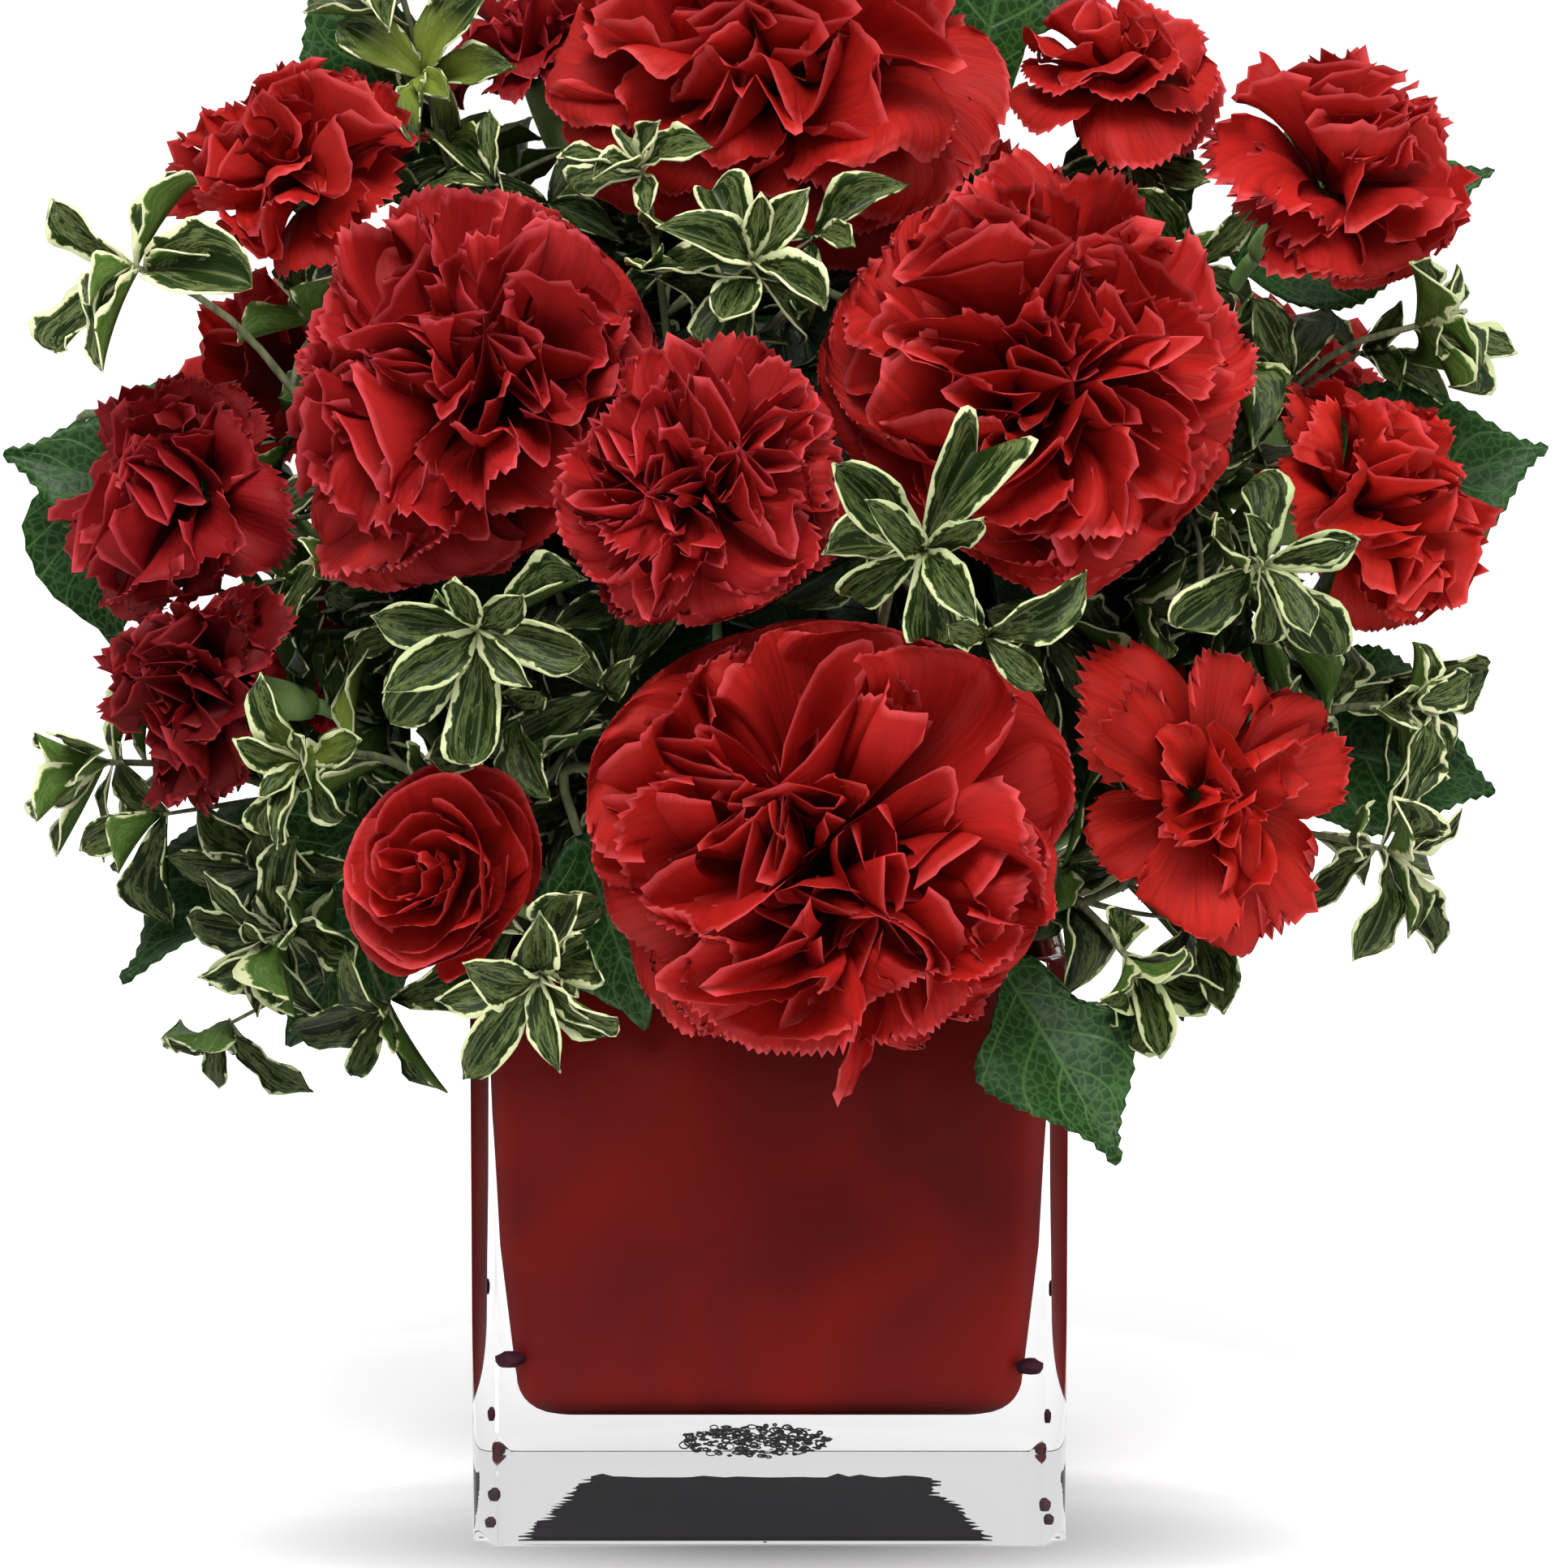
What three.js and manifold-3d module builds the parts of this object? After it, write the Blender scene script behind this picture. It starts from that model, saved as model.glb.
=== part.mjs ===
// A bouquet of red carnations with variegated pittosporum and lemon leaf, arranged in wet foam
// in a square glass vase that is red inside. Millimetres, +Z up, the front looks along -Y.
// The origin is the middle of the vase's underside.
import * as THREE from "three";
import Module from "manifold-3d";

const wasm = await Module();
wasm.setup();

// Driving dimensions of the vase, its red inner coat and the foam block.
const VASE_SIDE = 114;
const VASE_HEIGHT = 114;
const RIM_WALL = 3.6;
const LOW_WALL = 8.5;
const FLOOR_THICKNESS = 23.5;
const COAT = 0.9;
const FIT = 0.3;
const FOAM_SIDE = 92;
const FOAM_TOP = 138;
const FOAM_CHAMFER = 9;

// The two sizes of carnation: radii of stem and calyx, and the petals in tiers from the outside in.
// Reach, rise, crest, ruffle and roll are shares of the bloom's radius.
const STANDARD = {
  stem: 2.4,
  calyx: 6.6,
  calyxLength: 25,
  blade: 0.8,
  tiers: [
    { count: 6, reach: 1.0, rise: 0.17, crest: 0.42, ruffle: 0.07, roll: 0.09, teeth: 5 },
    { count: 6, reach: 0.76, rise: 0.58, crest: 0.54, ruffle: 0.09, roll: 0.08, teeth: 4 },
    { count: 5, reach: 0.42, rise: 0.9, crest: 0.62, ruffle: 0.06, roll: 0.06, teeth: 3 },
  ],
};
const SPRAY = {
  stem: 1.6,
  calyx: 4.4,
  calyxLength: 18,
  blade: 0.7,
  tiers: [
    { count: 5, reach: 1.0, rise: 0.22, crest: 0.44, ruffle: 0.08, roll: 0.09, teeth: 4 },
    { count: 5, reach: 0.54, rise: 0.8, crest: 0.58, ruffle: 0.07, roll: 0.07, teeth: 3 },
  ],
};
const TWIG = 1.15;
const STALK = 1.3;
const STEM_SIDES = 5;
const LEAF_BLADE = 0.7;

// Room kept between solids that only lie against each other.
const WALL_GAP = 0.65;
const LEAST_ROOM = 2;
const HOLE_ROOM = 0.35;

// How sharply petals and leaves bend where they meet a neighbour: higher presses only close by.
const PRESS_POWER = 8;

const TURN = Math.PI * 2;
const GOLDEN_TURN = TURN * 0.381966;
const vec = (x, y, z) => new THREE.Vector3(x, y, z);
const along = (from, direction, distance) => from.clone().addScaledVector(direction, distance);
const mix = (a, shareA, b, shareB) => along(a.clone().multiplyScalar(shareA), b, shareB);

// A repeatable draw between 0 and 1.
function draw(seed) {
  const s = Math.sin(seed * 127.1 + 311.7) * 43758.5453;
  return s - Math.floor(s);
}

const spread = (seed, amount) => (draw(seed) - 0.5) * 2 * amount;

// Where each carnation's head is: its middle, the way it faces, its radius and its kind.
const HEADS = [
  { name: "front_low", kind: STANDARD, at: [10, -90, 140], face: [0.05, -0.93, 0.25], radius: 47 },
  { name: "upper_right", kind: STANDARD, at: [50, -57, 224], face: [0.25, -0.8, 0.48], radius: 42 },
  { name: "upper_left", kind: STANDARD, at: [-55, -52, 222], face: [-0.35, -0.75, 0.5], radius: 40 },
  { name: "top", kind: STANDARD, at: [1, -12, 283], face: [0.02, -0.5, 0.85], radius: 45 },
  { name: "back_low", kind: STANDARD, at: [-8, 86, 150], face: [-0.05, 0.93, 0.28], radius: 41 },
  { name: "back_high", kind: STANDARD, at: [36, 62, 230], face: [0.25, 0.72, 0.6], radius: 40 },
  { name: "middle", kind: SPRAY, at: [-12, -87, 206], face: [0, -0.93, 0.3], radius: 27 },
  { name: "rosette", kind: SPRAY, at: [-60, -76, 133], face: [-0.35, -0.87, 0.3], radius: 19.5 },
  { name: "left_low", kind: SPRAY, at: [-109, -40, 164], face: [-0.8, -0.5, 0.2], radius: 21 },
  { name: "left", kind: SPRAY, at: [-114, -22, 202], face: [-0.72, -0.58, 0.33], radius: 27 },
  { name: "left_high", kind: SPRAY, at: [-93, -8, 261], face: [-0.5, -0.5, 0.68], radius: 24 },
  { name: "top_left", kind: SPRAY, at: [-47, 20, 284], face: [-0.3, -0.1, 0.93], radius: 20 },
  { name: "top_right", kind: SPRAY, at: [69, 8, 281], face: [0.08, -0.25, 0.95], radius: 21 },
  { name: "right_high", kind: SPRAY, at: [112, -10, 261], face: [0.6, -0.45, 0.62], radius: 26 },
  { name: "right", kind: SPRAY, at: [116, -28, 198], face: [0.78, -0.5, 0.25], radius: 26 },
  { name: "right_low", kind: SPRAY, at: [84, -70, 147], face: [0.42, -0.88, 0.1], radius: 28 },
  { name: "back_left_high", kind: SPRAY, at: [-46, 66, 218], face: [-0.3, 0.8, 0.45], radius: 27 },
  { name: "back_top", kind: SPRAY, at: [-10, 56, 272], face: [-0.1, 0.5, 0.86], radius: 23 },
  { name: "back_right_low", kind: SPRAY, at: [76, 70, 160], face: [0.6, 0.76, 0.2], radius: 26 },
  { name: "back_right", kind: SPRAY, at: [108, 42, 208], face: [0.8, 0.5, 0.35], radius: 24 },
  { name: "back_left_low", kind: SPRAY, at: [-86, 58, 166], face: [-0.72, 0.65, 0.2], radius: 25 },
  { name: "back_left", kind: SPRAY, at: [-98, 36, 222], face: [-0.72, 0.45, 0.5], radius: 23 },
];

// The heads on each green stem, and how far its place in the foam is turned aside, in degrees.
const STEMS = [
  { heads: ["front_low"] },
  { heads: ["upper_right"] },
  { heads: ["upper_left"] },
  { heads: ["top"] },
  { heads: ["back_low"] },
  { heads: ["back_high"] },
  { heads: ["middle"] },
  { heads: ["rosette"], nudge: 9 },
  { heads: ["left_low", "left"], nudge: -3 },
  { heads: ["left_high", "top_left"], nudge: 6 },
  { heads: ["top_right", "right_high"] },
  { heads: ["right", "right_low"], nudge: -5 },
  { heads: ["back_left_high", "back_top"] },
  { heads: ["back_right_low", "back_right"] },
  { heads: ["back_left_low", "back_left"] },
];

// Pittosporum twigs: each has one or two whorls of leaves at its tips.
const TWIGS = [
  { name: "centre_right", nudge: 6, whorls: [{ at: [28, -105, 197], face: [0.15, -0.95, 0.1], radius: 25 }] },
  {
    name: "centre_left",
    nudge: -6,
    whorls: [
      { at: [-53, -91, 181], face: [-0.2, -0.95, 0], radius: 23 },
      { at: [-87, -65, 153], face: [-0.5, -0.8, 0], radius: 19 },
    ],
  },
  { name: "rim_left", whorls: [{ at: [-42, -96, 118], face: [-0.1, -0.95, -0.25], radius: 21 }] },
  { name: "upper_middle", whorls: [{ at: [-3, -62, 246], face: [0.1, -0.8, 0.5], radius: 22 }] },
  { name: "far_left", nudge: 6, whorls: [{ at: [-121, -34, 244], face: [-0.75, -0.45, 0.4], radius: 24 }] },
  { name: "crown_left", nudge: 14, whorls: [{ at: [-72, 2, 296], face: [-0.25, -0.2, 0.94], radius: 23 }] },
  {
    name: "low_left",
    nudge: -2,
    whorls: [
      { at: [-93, -52, 118], face: [-0.5, -0.75, -0.35], radius: 29 },
      { at: [-130, -14, 146], face: [-0.9, -0.2, 0.05], radius: 20 },
    ],
  },
  { name: "right_middle", whorls: [{ at: [92, -66, 190], face: [0.5, -0.8, 0.2], radius: 21 }] },
  { name: "right_upper", nudge: 8, whorls: [{ at: [126, -20, 232], face: [0.85, -0.3, 0.25], radius: 21 }] },
  {
    name: "right_low",
    nudge: 3,
    whorls: [
      { at: [118, -42, 133], face: [0.75, -0.5, -0.1], radius: 20 },
      { at: [122, -34, 160], face: [0.85, -0.45, 0.1], radius: 18 },
    ],
  },
  { name: "rim_right", whorls: [{ at: [67, -72, 117], face: [0.45, -0.7, -0.5], radius: 19 }] },
  { name: "top_front", whorls: [{ at: [-24, -47, 263], face: [-0.15, -0.6, 0.75], radius: 15 }] },
  {
    name: "back_middle",
    whorls: [
      { at: [-46, 92, 182], face: [-0.3, 0.93, 0.1], radius: 22 },
      { at: [-14, 90, 104], face: [-0.1, 0.9, -0.3], radius: 22 },
    ],
  },
  {
    name: "back_right",
    whorls: [
      { at: [50, 96, 186], face: [0.3, 0.93, 0.1], radius: 22 },
      { at: [44, 90, 116], face: [0.3, 0.9, -0.2], radius: 21 },
    ],
  },
];

// Lemon leaf branches: each leaf has a base, a tip, a width and the way its upper face looks.
const BRANCHES = [
  {
    name: "left",
    nudge: -8,
    leaves: [
      { base: [-96, 6, 190], tip: [-149, -4, 207], face: [-0.2, -0.9, 0.4], width: 44 },
      { base: [-80, 4, 132], tip: [-127, -30, 112], face: [-0.3, -0.5, 0.8], width: 40 },
    ],
  },
  {
    name: "right",
    nudge: 8,
    leaves: [
      { base: [103, 8, 190], tip: [151, -4, 208], face: [0.2, -0.9, 0.4], width: 46 },
      { base: [95, -6, 150], tip: [142, -15, 143], face: [0.2, -0.85, 0.5], width: 44 },
    ],
  },
  {
    name: "upper_right",
    nudge: 4,
    leaves: [
      { base: [91, 31, 239], tip: [142, 20, 262], face: [0.1, -0.9, 0.5], width: 40 },
      { base: [38, 22, 262], tip: [50, 16, 318], face: [0.1, -0.95, 0.3], width: 44 },
    ],
  },
  {
    name: "front",
    leaves: [{ base: [38, -62, 122], tip: [66, -88, 84], face: [0.3, -0.85, 0.4], width: 42 }],
  },
  {
    name: "crown",
    nudge: -10,
    leaves: [{ base: [-62, 24, 250], tip: [-90, 12, 300], face: [-0.1, -0.95, 0.3], width: 40 }],
  },
  {
    name: "back",
    leaves: [
      { base: [-42, 62, 127], tip: [-84, 100, 108], face: [0, 0.6, 0.8], width: 42 },
      { base: [66, 58, 128], tip: [106, 88, 110], face: [0, 0.6, 0.8], width: 42 },
    ],
  },
];

// A closed solid from its corners and triangles, turned outwards if its faces point in.
function solid(points, triangles) {
  const wedge = ([a, b, c]) => points[a].dot(points[b].clone().cross(points[c]));
  const volume = triangles.reduce((sum, triangle) => sum + wedge(triangle), 0);
  const outward = volume < 0 ? triangles.map(([a, b, c]) => [a, c, b]) : triangles;
  return new wasm.Manifold(
    new wasm.Mesh({
      numProp: 3,
      vertProperties: new Float32Array(points.flatMap((p) => [p.x, p.y, p.z])),
      triVerts: new Uint32Array(outward.flat()),
    }),
  );
}

// A solid through rings of equal count, closed at both ends by a fan about a middle point.
function loft(rings) {
  const count = rings[0].length;
  const points = rings.flat();
  const triangles = [];
  for (let r = 0; r + 1 < rings.length; r++)
    for (let i = 0; i < count; i++) {
      const j = (i + 1) % count;
      const [a, b] = [r * count + i, r * count + j];
      triangles.push([a, b, b + count], [a, b + count, a + count]);
    }
  const middle = (ring) => ring.reduce((sum, p) => sum.add(p), vec(0, 0, 0)).divideScalar(count);
  const last = (rings.length - 1) * count;
  points.push(middle(rings[0]), middle(rings.at(-1)));
  for (let i = 0; i < count; i++) {
    const j = (i + 1) % count;
    triangles.push([j, i, points.length - 2], [last + i, last + j, points.length - 1]);
  }
  return solid(points, triangles);
}

// Both faces of a blade of even thickness, split into triangles alike, and its rim. Edges between
// two claws stay open.
function bladeFaces(points, triangles, thickness, claws = []) {
  const normals = points.map(() => vec(0, 0, 0));
  for (const [a, b, c] of triangles) {
    const normal = points[b].clone().sub(points[a]).cross(points[c].clone().sub(points[a]));
    for (const i of [a, b, c]) normals[i].add(normal);
  }
  normals.forEach((n) => n.normalize());
  const count = points.length;
  const front = points.map((p, i) => along(p, normals[i], thickness / 2));
  const back = points.map((p, i) => along(p, normals[i], -thickness / 2));
  const edges = new Set(triangles.flatMap(([a, b, c]) => [`${a},${b}`, `${b},${c}`, `${c},${a}`]));
  const rim = [];
  for (const edge of edges) {
    const [a, b] = edge.split(",").map(Number);
    if (edges.has(`${b},${a}`) || (claws.includes(a) && claws.includes(b))) continue;
    rim.push([b, a, a + count], [b, a + count, b + count]);
  }
  const behind = triangles.map(([a, b, c]) => [a + count, c + count, b + count]);
  return { points: [...front, ...back], triangles: [...triangles, ...behind, ...rim] };
}

// A tier of petals or leaves round a ring of claws. A crown closes it above; below, rings of as
// many points lead down to its root.
function tier(points, triangles, claws, thickness, crown, rings, root) {
  const made = bladeFaces(points, triangles, thickness, claws);
  let below = claws.map((claw) => claw + points.length);
  const pairs = claws.map((_, i) => [i, (i + 1) % claws.length]);
  for (const ring of rings) {
    const next = ring.map((_, i) => made.points.length + i);
    made.points.push(...ring);
    for (const [i, j] of pairs)
      made.triangles.push([below[j], below[i], next[i]], [below[j], next[i], next[j]]);
    below = next;
  }
  const top = made.points.push(crown) - 1;
  const bottom = made.points.push(root) - 1;
  for (const [i, j] of pairs)
    made.triangles.push([claws[i], claws[j], top], [below[j], below[i], bottom]);
  return solid(made.points, made.triangles);
}

// Rings of points round a path, with a radius at each point, carried along without a twist.
function ringsAlong(path, radii, sides, first = null) {
  let u = first;
  return path.map((p, k) => {
    const before = path[Math.max(k - 1, 0)];
    const after = path[Math.min(k + 1, path.length - 1)];
    const ahead = after.clone().sub(before).normalize();
    u ??= across(ahead)[0];
    u = along(u, ahead, -u.dot(ahead)).normalize();
    const w = ahead.clone().cross(u);
    const radius = Array.isArray(radii) ? radii[k] : radii;
    return Array.from({ length: sides }, (_, i) => {
      const turn = (TURN * i) / sides;
      return along(along(p, u, radius * Math.cos(turn)), w, radius * Math.sin(turn));
    });
  });
}

const bar = (path, radii, sides) => loft(ringsAlong(path, radii, sides));

// Two directions at right angles to a direction and to each other, the first as level as can be.
function across(direction) {
  const up = Math.abs(direction.z) > 0.95 ? vec(0, 1, 0) : vec(0, 0, 1);
  const u = up.clone().cross(direction).normalize();
  return [u, direction.clone().cross(u)];
}

// Several solids as one body; a scrap that came loose is dropped.
function fused(solids) {
  const pieces = wasm.Manifold.union(solids).simplify(0.05).decompose();
  return pieces.reduce((best, piece) => (piece.volume() > best.volume() ? piece : best));
}

// A node of the object: a named mesh with its own material.
function node(name, body, material) {
  const mesh = body.getMesh();
  const geometry = new THREE.BufferGeometry();
  geometry.setAttribute("position", new THREE.BufferAttribute(mesh.vertProperties, 3));
  geometry.setIndex(new THREE.BufferAttribute(mesh.triVerts, 1));
  geometry.computeVertexNormals();
  const made = new THREE.Mesh(geometry, material);
  made.name = name;
  return made;
}

const finish = (color, roughness, more = {}) =>
  new THREE.MeshStandardMaterial({ color, roughness, metalness: 0, flatShading: true, ...more });
const MATERIALS = {
  glass: finish(0xf2f2f5, 0.03, { transparent: true, opacity: 0.35 }),
  coat: finish(0x6e1012, 0.25),
  foam: finish(0x2c4a2c, 0.95),
  petals: finish(0xc3161f, 0.6),
  stem: finish(0x6d9a4a, 0.5),
  pittosporum: finish(0x3d5c2e, 0.35),
  lemonLeaf: finish(0x1f4a22, 0.35),
};

// The vase: a heavy pressed glass cube whose walls thin towards the rim.
const CORNER_STEPS = 3;
const QUARTERS = [
  [1, 1],
  [-1, 1],
  [-1, -1],
  [1, -1],
];

// A level ring round a square with rounded corners, from its half width and corner radius.
function squareRing(half, corner, z, steps = CORNER_STEPS) {
  return QUARTERS.flatMap(([sx, sy], quarter) =>
    Array.from({ length: steps + 1 }, (_, step) => {
      const turn = (TURN / 4) * (quarter + step / steps);
      const x = sx * (half - corner) + corner * Math.cos(turn);
      const y = sy * (half - corner) + corner * Math.sin(turn);
      return vec(x, y, z);
    }),
  );
}

// The cavity's half width at a height, from the rounded floor up to the rim.
function cavityRings(inset) {
  const floor = FLOOR_THICKNESS + inset;
  const low = VASE_SIDE / 2 - LOW_WALL - inset;
  const high = VASE_SIDE / 2 - RIM_WALL - inset;
  return [
    squareRing(low - 8, 8, floor),
    squareRing(low - 2.4, 9, floor + 2.2),
    squareRing(low, 9, floor + 8),
    squareRing(low + (high - low) * 0.6, 8, floor + 34),
    squareRing(high, 7, VASE_HEIGHT - 3),
  ];
}

function glassVase() {
  const half = VASE_SIDE / 2;
  const rim = VASE_SIDE / 2 - RIM_WALL + 0.8;
  const outside = [
    squareRing(half - 3.2, 3, 0),
    squareRing(half - 0.9, 3.6, 1),
    squareRing(half, 4, 3.4),
    squareRing(half, 4, VASE_HEIGHT - 1.2),
    squareRing(half - 1.1, 3.6, VASE_HEIGHT),
  ];
  const inside = [squareRing(rim, 7, VASE_HEIGHT), ...cavityRings(0).reverse()];
  return loft([...outside, ...inside]);
}

// The red coat: a thin layer all over the cavity, open at the top.
function redCoat() {
  const outer = cavityRings(FIT);
  const inner = cavityRings(FIT + COAT).reverse();
  return loft([...outer, ...inner]);
}

// The foam block stands on the coat's floor and rises above the rim. Each stem has its hole, a
// little wider than the stem whichever way its few sides are turned.
const FOAM_CORNER = 8;
const HOLE_SHARE = 1.2;

function foamBlock(stems) {
  const half = FOAM_SIDE / 2;
  const floor = FLOOR_THICKNESS + FIT * 2 + COAT;
  const block = loft([
    squareRing(half - 9, FOAM_CORNER, floor, 1),
    squareRing(half - 1, FOAM_CORNER, floor + 5, 1),
    squareRing(half, FOAM_CORNER, FOAM_TOP - FOAM_CHAMFER, 1),
    squareRing(half - FOAM_CHAMFER, FOAM_CORNER, FOAM_TOP, 1),
  ]);
  const holes = stems
    .filter(({ path }) => path.at(-1).z < FOAM_TOP + FOAM_CHAMFER)
    .map(({ path, radius }) => {
      const inward = path.at(-1).clone().sub(path.at(-2)).normalize();
      const deeper = along(path.at(-1), inward, HOLE_ROOM);
      return bar([...path.slice(0, -1), deeper], radius * HOLE_SHARE + HOLE_ROOM, STEM_SIDES);
    });
  return fused([block.subtract(wasm.Manifold.union(holes))]);
}

// Where a stem ends in the foam: low ones come in at the side, high ones go deep.
const SEAT_CENTRE = vec(0, 0, 100);
const SEAT_REACH = 33;
const SEAT_LEVEL = 112;
const SEAT_DEPTH = 24;
const SEAT_CURVE = 0.75;

function seatOf(head, nudge = 0) {
  const way = head.clone().sub(SEAT_CENTRE).normalize();
  const flat = Math.hypot(way.x, way.y);
  const turn = Math.atan2(way.y, way.x) + THREE.MathUtils.degToRad(nudge);
  const reach = SEAT_REACH * flat ** SEAT_CURVE;
  const level = SEAT_LEVEL - SEAT_DEPTH * Math.max(way.z, 0);
  return vec(reach * Math.cos(turn), reach * Math.sin(turn), level);
}

// The path from a neck to the foam, lifted over the vase's rim where it would cross it.
const RIM_ROOM = 2;

function overRim(neck, seat, radius) {
  const edge = VASE_SIDE / 2 + RIM_ROOM;
  const outside = Math.max(Math.abs(neck.x), Math.abs(neck.y));
  const lowest = VASE_HEIGHT + radius + RIM_ROOM;
  if (outside <= edge) return [neck, seat];
  const inside = Math.max(Math.abs(seat.x), Math.abs(seat.y));
  const crossing = neck.clone().lerp(seat, (outside - edge) / (outside - inside));
  if (crossing.z >= lowest) return [neck, seat];
  crossing.z = lowest;
  return [neck, crossing, seat];
}

// The calyx's mouth lies this share of a bloom's radius behind its middle.
const MOUTH_BACK = 0.35;
const unit = (list) => vec(...list).normalize();
for (const head of HEADS) {
  head.centre = vec(...head.at);
  head.axis = unit(head.face);
  head.mouth = along(head.centre, head.axis, -MOUTH_BACK * head.radius);
  head.foot = along(head.mouth, head.axis, -head.kind.calyxLength);
}
const headNamed = (name) => HEADS.find((h) => h.name === name);

// The stems as paths from each head down into the foam. They leave it straight along its neck.
// Of two that share a stem, the second ends at a fork.
const FORK_SHARE = 0.42;
const FORK_ROOM = 8;
const CALYX_NECK = 5;
const WHORL_NECK = 1.4;
const LEAF_NECK = 12;

function stemsTo(tips, radius, nudge) {
  const mean = tips.reduce((sum, t) => sum.add(t.at), vec(0, 0, 0)).divideScalar(tips.length);
  const seat = seatOf(mean, nudge);
  const fork = seat.clone().lerp(mean, FORK_SHARE);
  fork.z = Math.max(fork.z, VASE_HEIGHT + FORK_ROOM);
  return tips.map((t, k) => {
    const neck = along(t.at, t.axis, -t.neck);
    if (tips.length === 1) return { path: [t.at, ...overRim(neck, seat, radius)], radius };
    const lower = k === 0 ? [fork, seat] : [fork];
    return { path: [t.at, neck, ...lower], radius };
  });
}

// The plants: each is one green node, and its stems, heads, whorls or leaves.
const plants = [];
for (const { heads: names, nudge } of STEMS) {
  const heads = names.map(headNamed);
  const tips = heads.map((h) => ({ at: h.foot, axis: h.axis, neck: CALYX_NECK }));
  const stems = stemsTo(tips, heads[0].kind.stem, nudge);
  plants.push({ name: `carnation_stem_${names.join("_and_")}`, heads, stems, kind: "green" });
}
for (const { name, whorls, nudge } of TWIGS) {
  for (const whorl of whorls) {
    whorl.centre = vec(...whorl.at);
    whorl.axis = unit(whorl.face);
  }
  const tips = whorls.map((w) => ({ at: w.centre, axis: w.axis, neck: WHORL_NECK * w.radius }));
  plants.push({ name: `pittosporum_${name}`, whorls, stems: stemsTo(tips, TWIG, nudge), kind: "twig" });
}
for (const { name, leaves, nudge } of BRANCHES) {
  for (const leaf of leaves) {
    leaf.root = vec(...leaf.base);
    leaf.end = vec(...leaf.tip);
    leaf.centre = leaf.root.clone().lerp(leaf.end, 0.5);
    leaf.axis = leaf.end.clone().sub(leaf.root).normalize();
    leaf.up = unit(leaf.face);
  }
  const tips = leaves.map((l) => ({ at: l.root, axis: l.axis, neck: LEAF_NECK }));
  plants.push({ name: `lemon_leaf_${name}`, leaves, stems: stemsTo(tips, STALK, nudge), kind: "branch" });
}

// Every stretch of stem or calyx is an obstacle that other plants' petals and leaves keep clear of.
const stretches = plants.flatMap((plant) => {
  const bars = plant.stems.flatMap(({ path, radius }) =>
    path.slice(1).map((to, k) => ({ from: path[k], to, radius, owner: plant })),
  );
  const calyces = (plant.heads ?? []).map((h) => {
    const radius = h.kind.calyx * 1.1;
    return { from: h.mouth, to: h.foot, radius, owner: plant };
  });
  return [...bars, ...calyces];
});

// The heads, whorls and leaves share out the space between them. Each pushes as a ball of its
// weight does, and meets nothing further than its reach.
const WHORL_WEIGHT = 0.62;
const LEAF_WEIGHT = 9;
const LEAF_REACH = 34;
const bodies = [
  ...HEADS.map((h) => ({ owner: h, weight: h.radius, reach: h.radius * 1.3 })),
  ...plants.flatMap((plant) => [
    ...(plant.whorls ?? []).map((w) => ({
      owner: w,
      weight: w.radius * WHORL_WEIGHT,
      reach: w.radius * 1.3,
      plant,
    })),
    ...(plant.leaves ?? []).map((l) => ({ owner: l, weight: LEAF_WEIGHT, reach: LEAF_REACH, plant })),
  ]),
].map((body) => ({ ...body, centre: body.owner.centre }));

// The nearest point to a centre of a box that nothing enters.
function nearestOfBox(centre, half, top) {
  const clamp = (value) => THREE.MathUtils.clamp(value, -half, half);
  return vec(clamp(centre.x), clamp(centre.y), Math.min(centre.z, top));
}

// The cell that one head, whorl or leaf stays inside of: a centre and the flat walls round it.
// Each wall is kept as the arrow across it whose dot product with an arm reaches 1 at the wall.
function cellOf(owner, plant) {
  const own = bodies.find((b) => b.owner === owner);
  const { centre, reach } = own;
  const walls = [];
  const wallOff = (near, radius) => {
    const towards = near.clone().sub(centre);
    const distance = towards.length();
    if (distance - radius > reach) return;
    const room = Math.max(distance - radius - WALL_GAP, LEAST_ROOM);
    walls.push(towards.divideScalar(distance * room));
  };
  wallOff(nearestOfBox(centre, VASE_SIDE / 2, VASE_HEIGHT), 0);
  wallOff(nearestOfBox(centre, FOAM_SIDE / 2, FOAM_TOP), 0);
  for (const other of bodies) {
    if (other === own || (plant && other.plant === plant)) continue;
    const distance = other.centre.distanceTo(centre);
    if (distance > reach + other.reach) continue;
    const share = (distance ** 2 + own.weight ** 2 - other.weight ** 2) / (2 * distance);
    wallOff(centre.clone().lerp(other.centre, share / distance), 0);
  }
  const line = new THREE.Line3();
  for (const stretch of stretches) {
    if (stretch.owner === plant || stretch.owner.heads?.includes(owner)) continue;
    line.set(stretch.from, stretch.to);
    wallOff(line.closestPointToPoint(centre, true, vec(0, 0, 0)), stretch.radius);
  }
  return { centre, walls };
}

// Presses a point softly into its cell, as a petal bends where it meets its neighbour. Points
// beyond a wall end up just inside it, and those near the centre hardly move.
function pressed(point, { centre, walls }) {
  const arm = point.clone().sub(centre);
  const crowding = walls.reduce((sum, wall) => sum + Math.max(0, arm.dot(wall)) ** PRESS_POWER, 0);
  return along(centre, arm, (1 + crowding) ** (-1 / PRESS_POWER));
}

// Where along a petal its claw, the notch to the next petal, its broadest point and the depth of
// its teeth are, how much of its sector its edge spans, and how far the blooms open.
const CLAW = 0.12;
const NOTCH = 0.5;
const BROAD = 0.66;
const TOOTH = 0.09;
const OUTER_SPAN = 0.88;
const SPREAD_OUT = 1.14;

// The pit in a calyx that its petals stand in, as a share of the calyx's radius.
const CALYX_PIT = 0.72;

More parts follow.
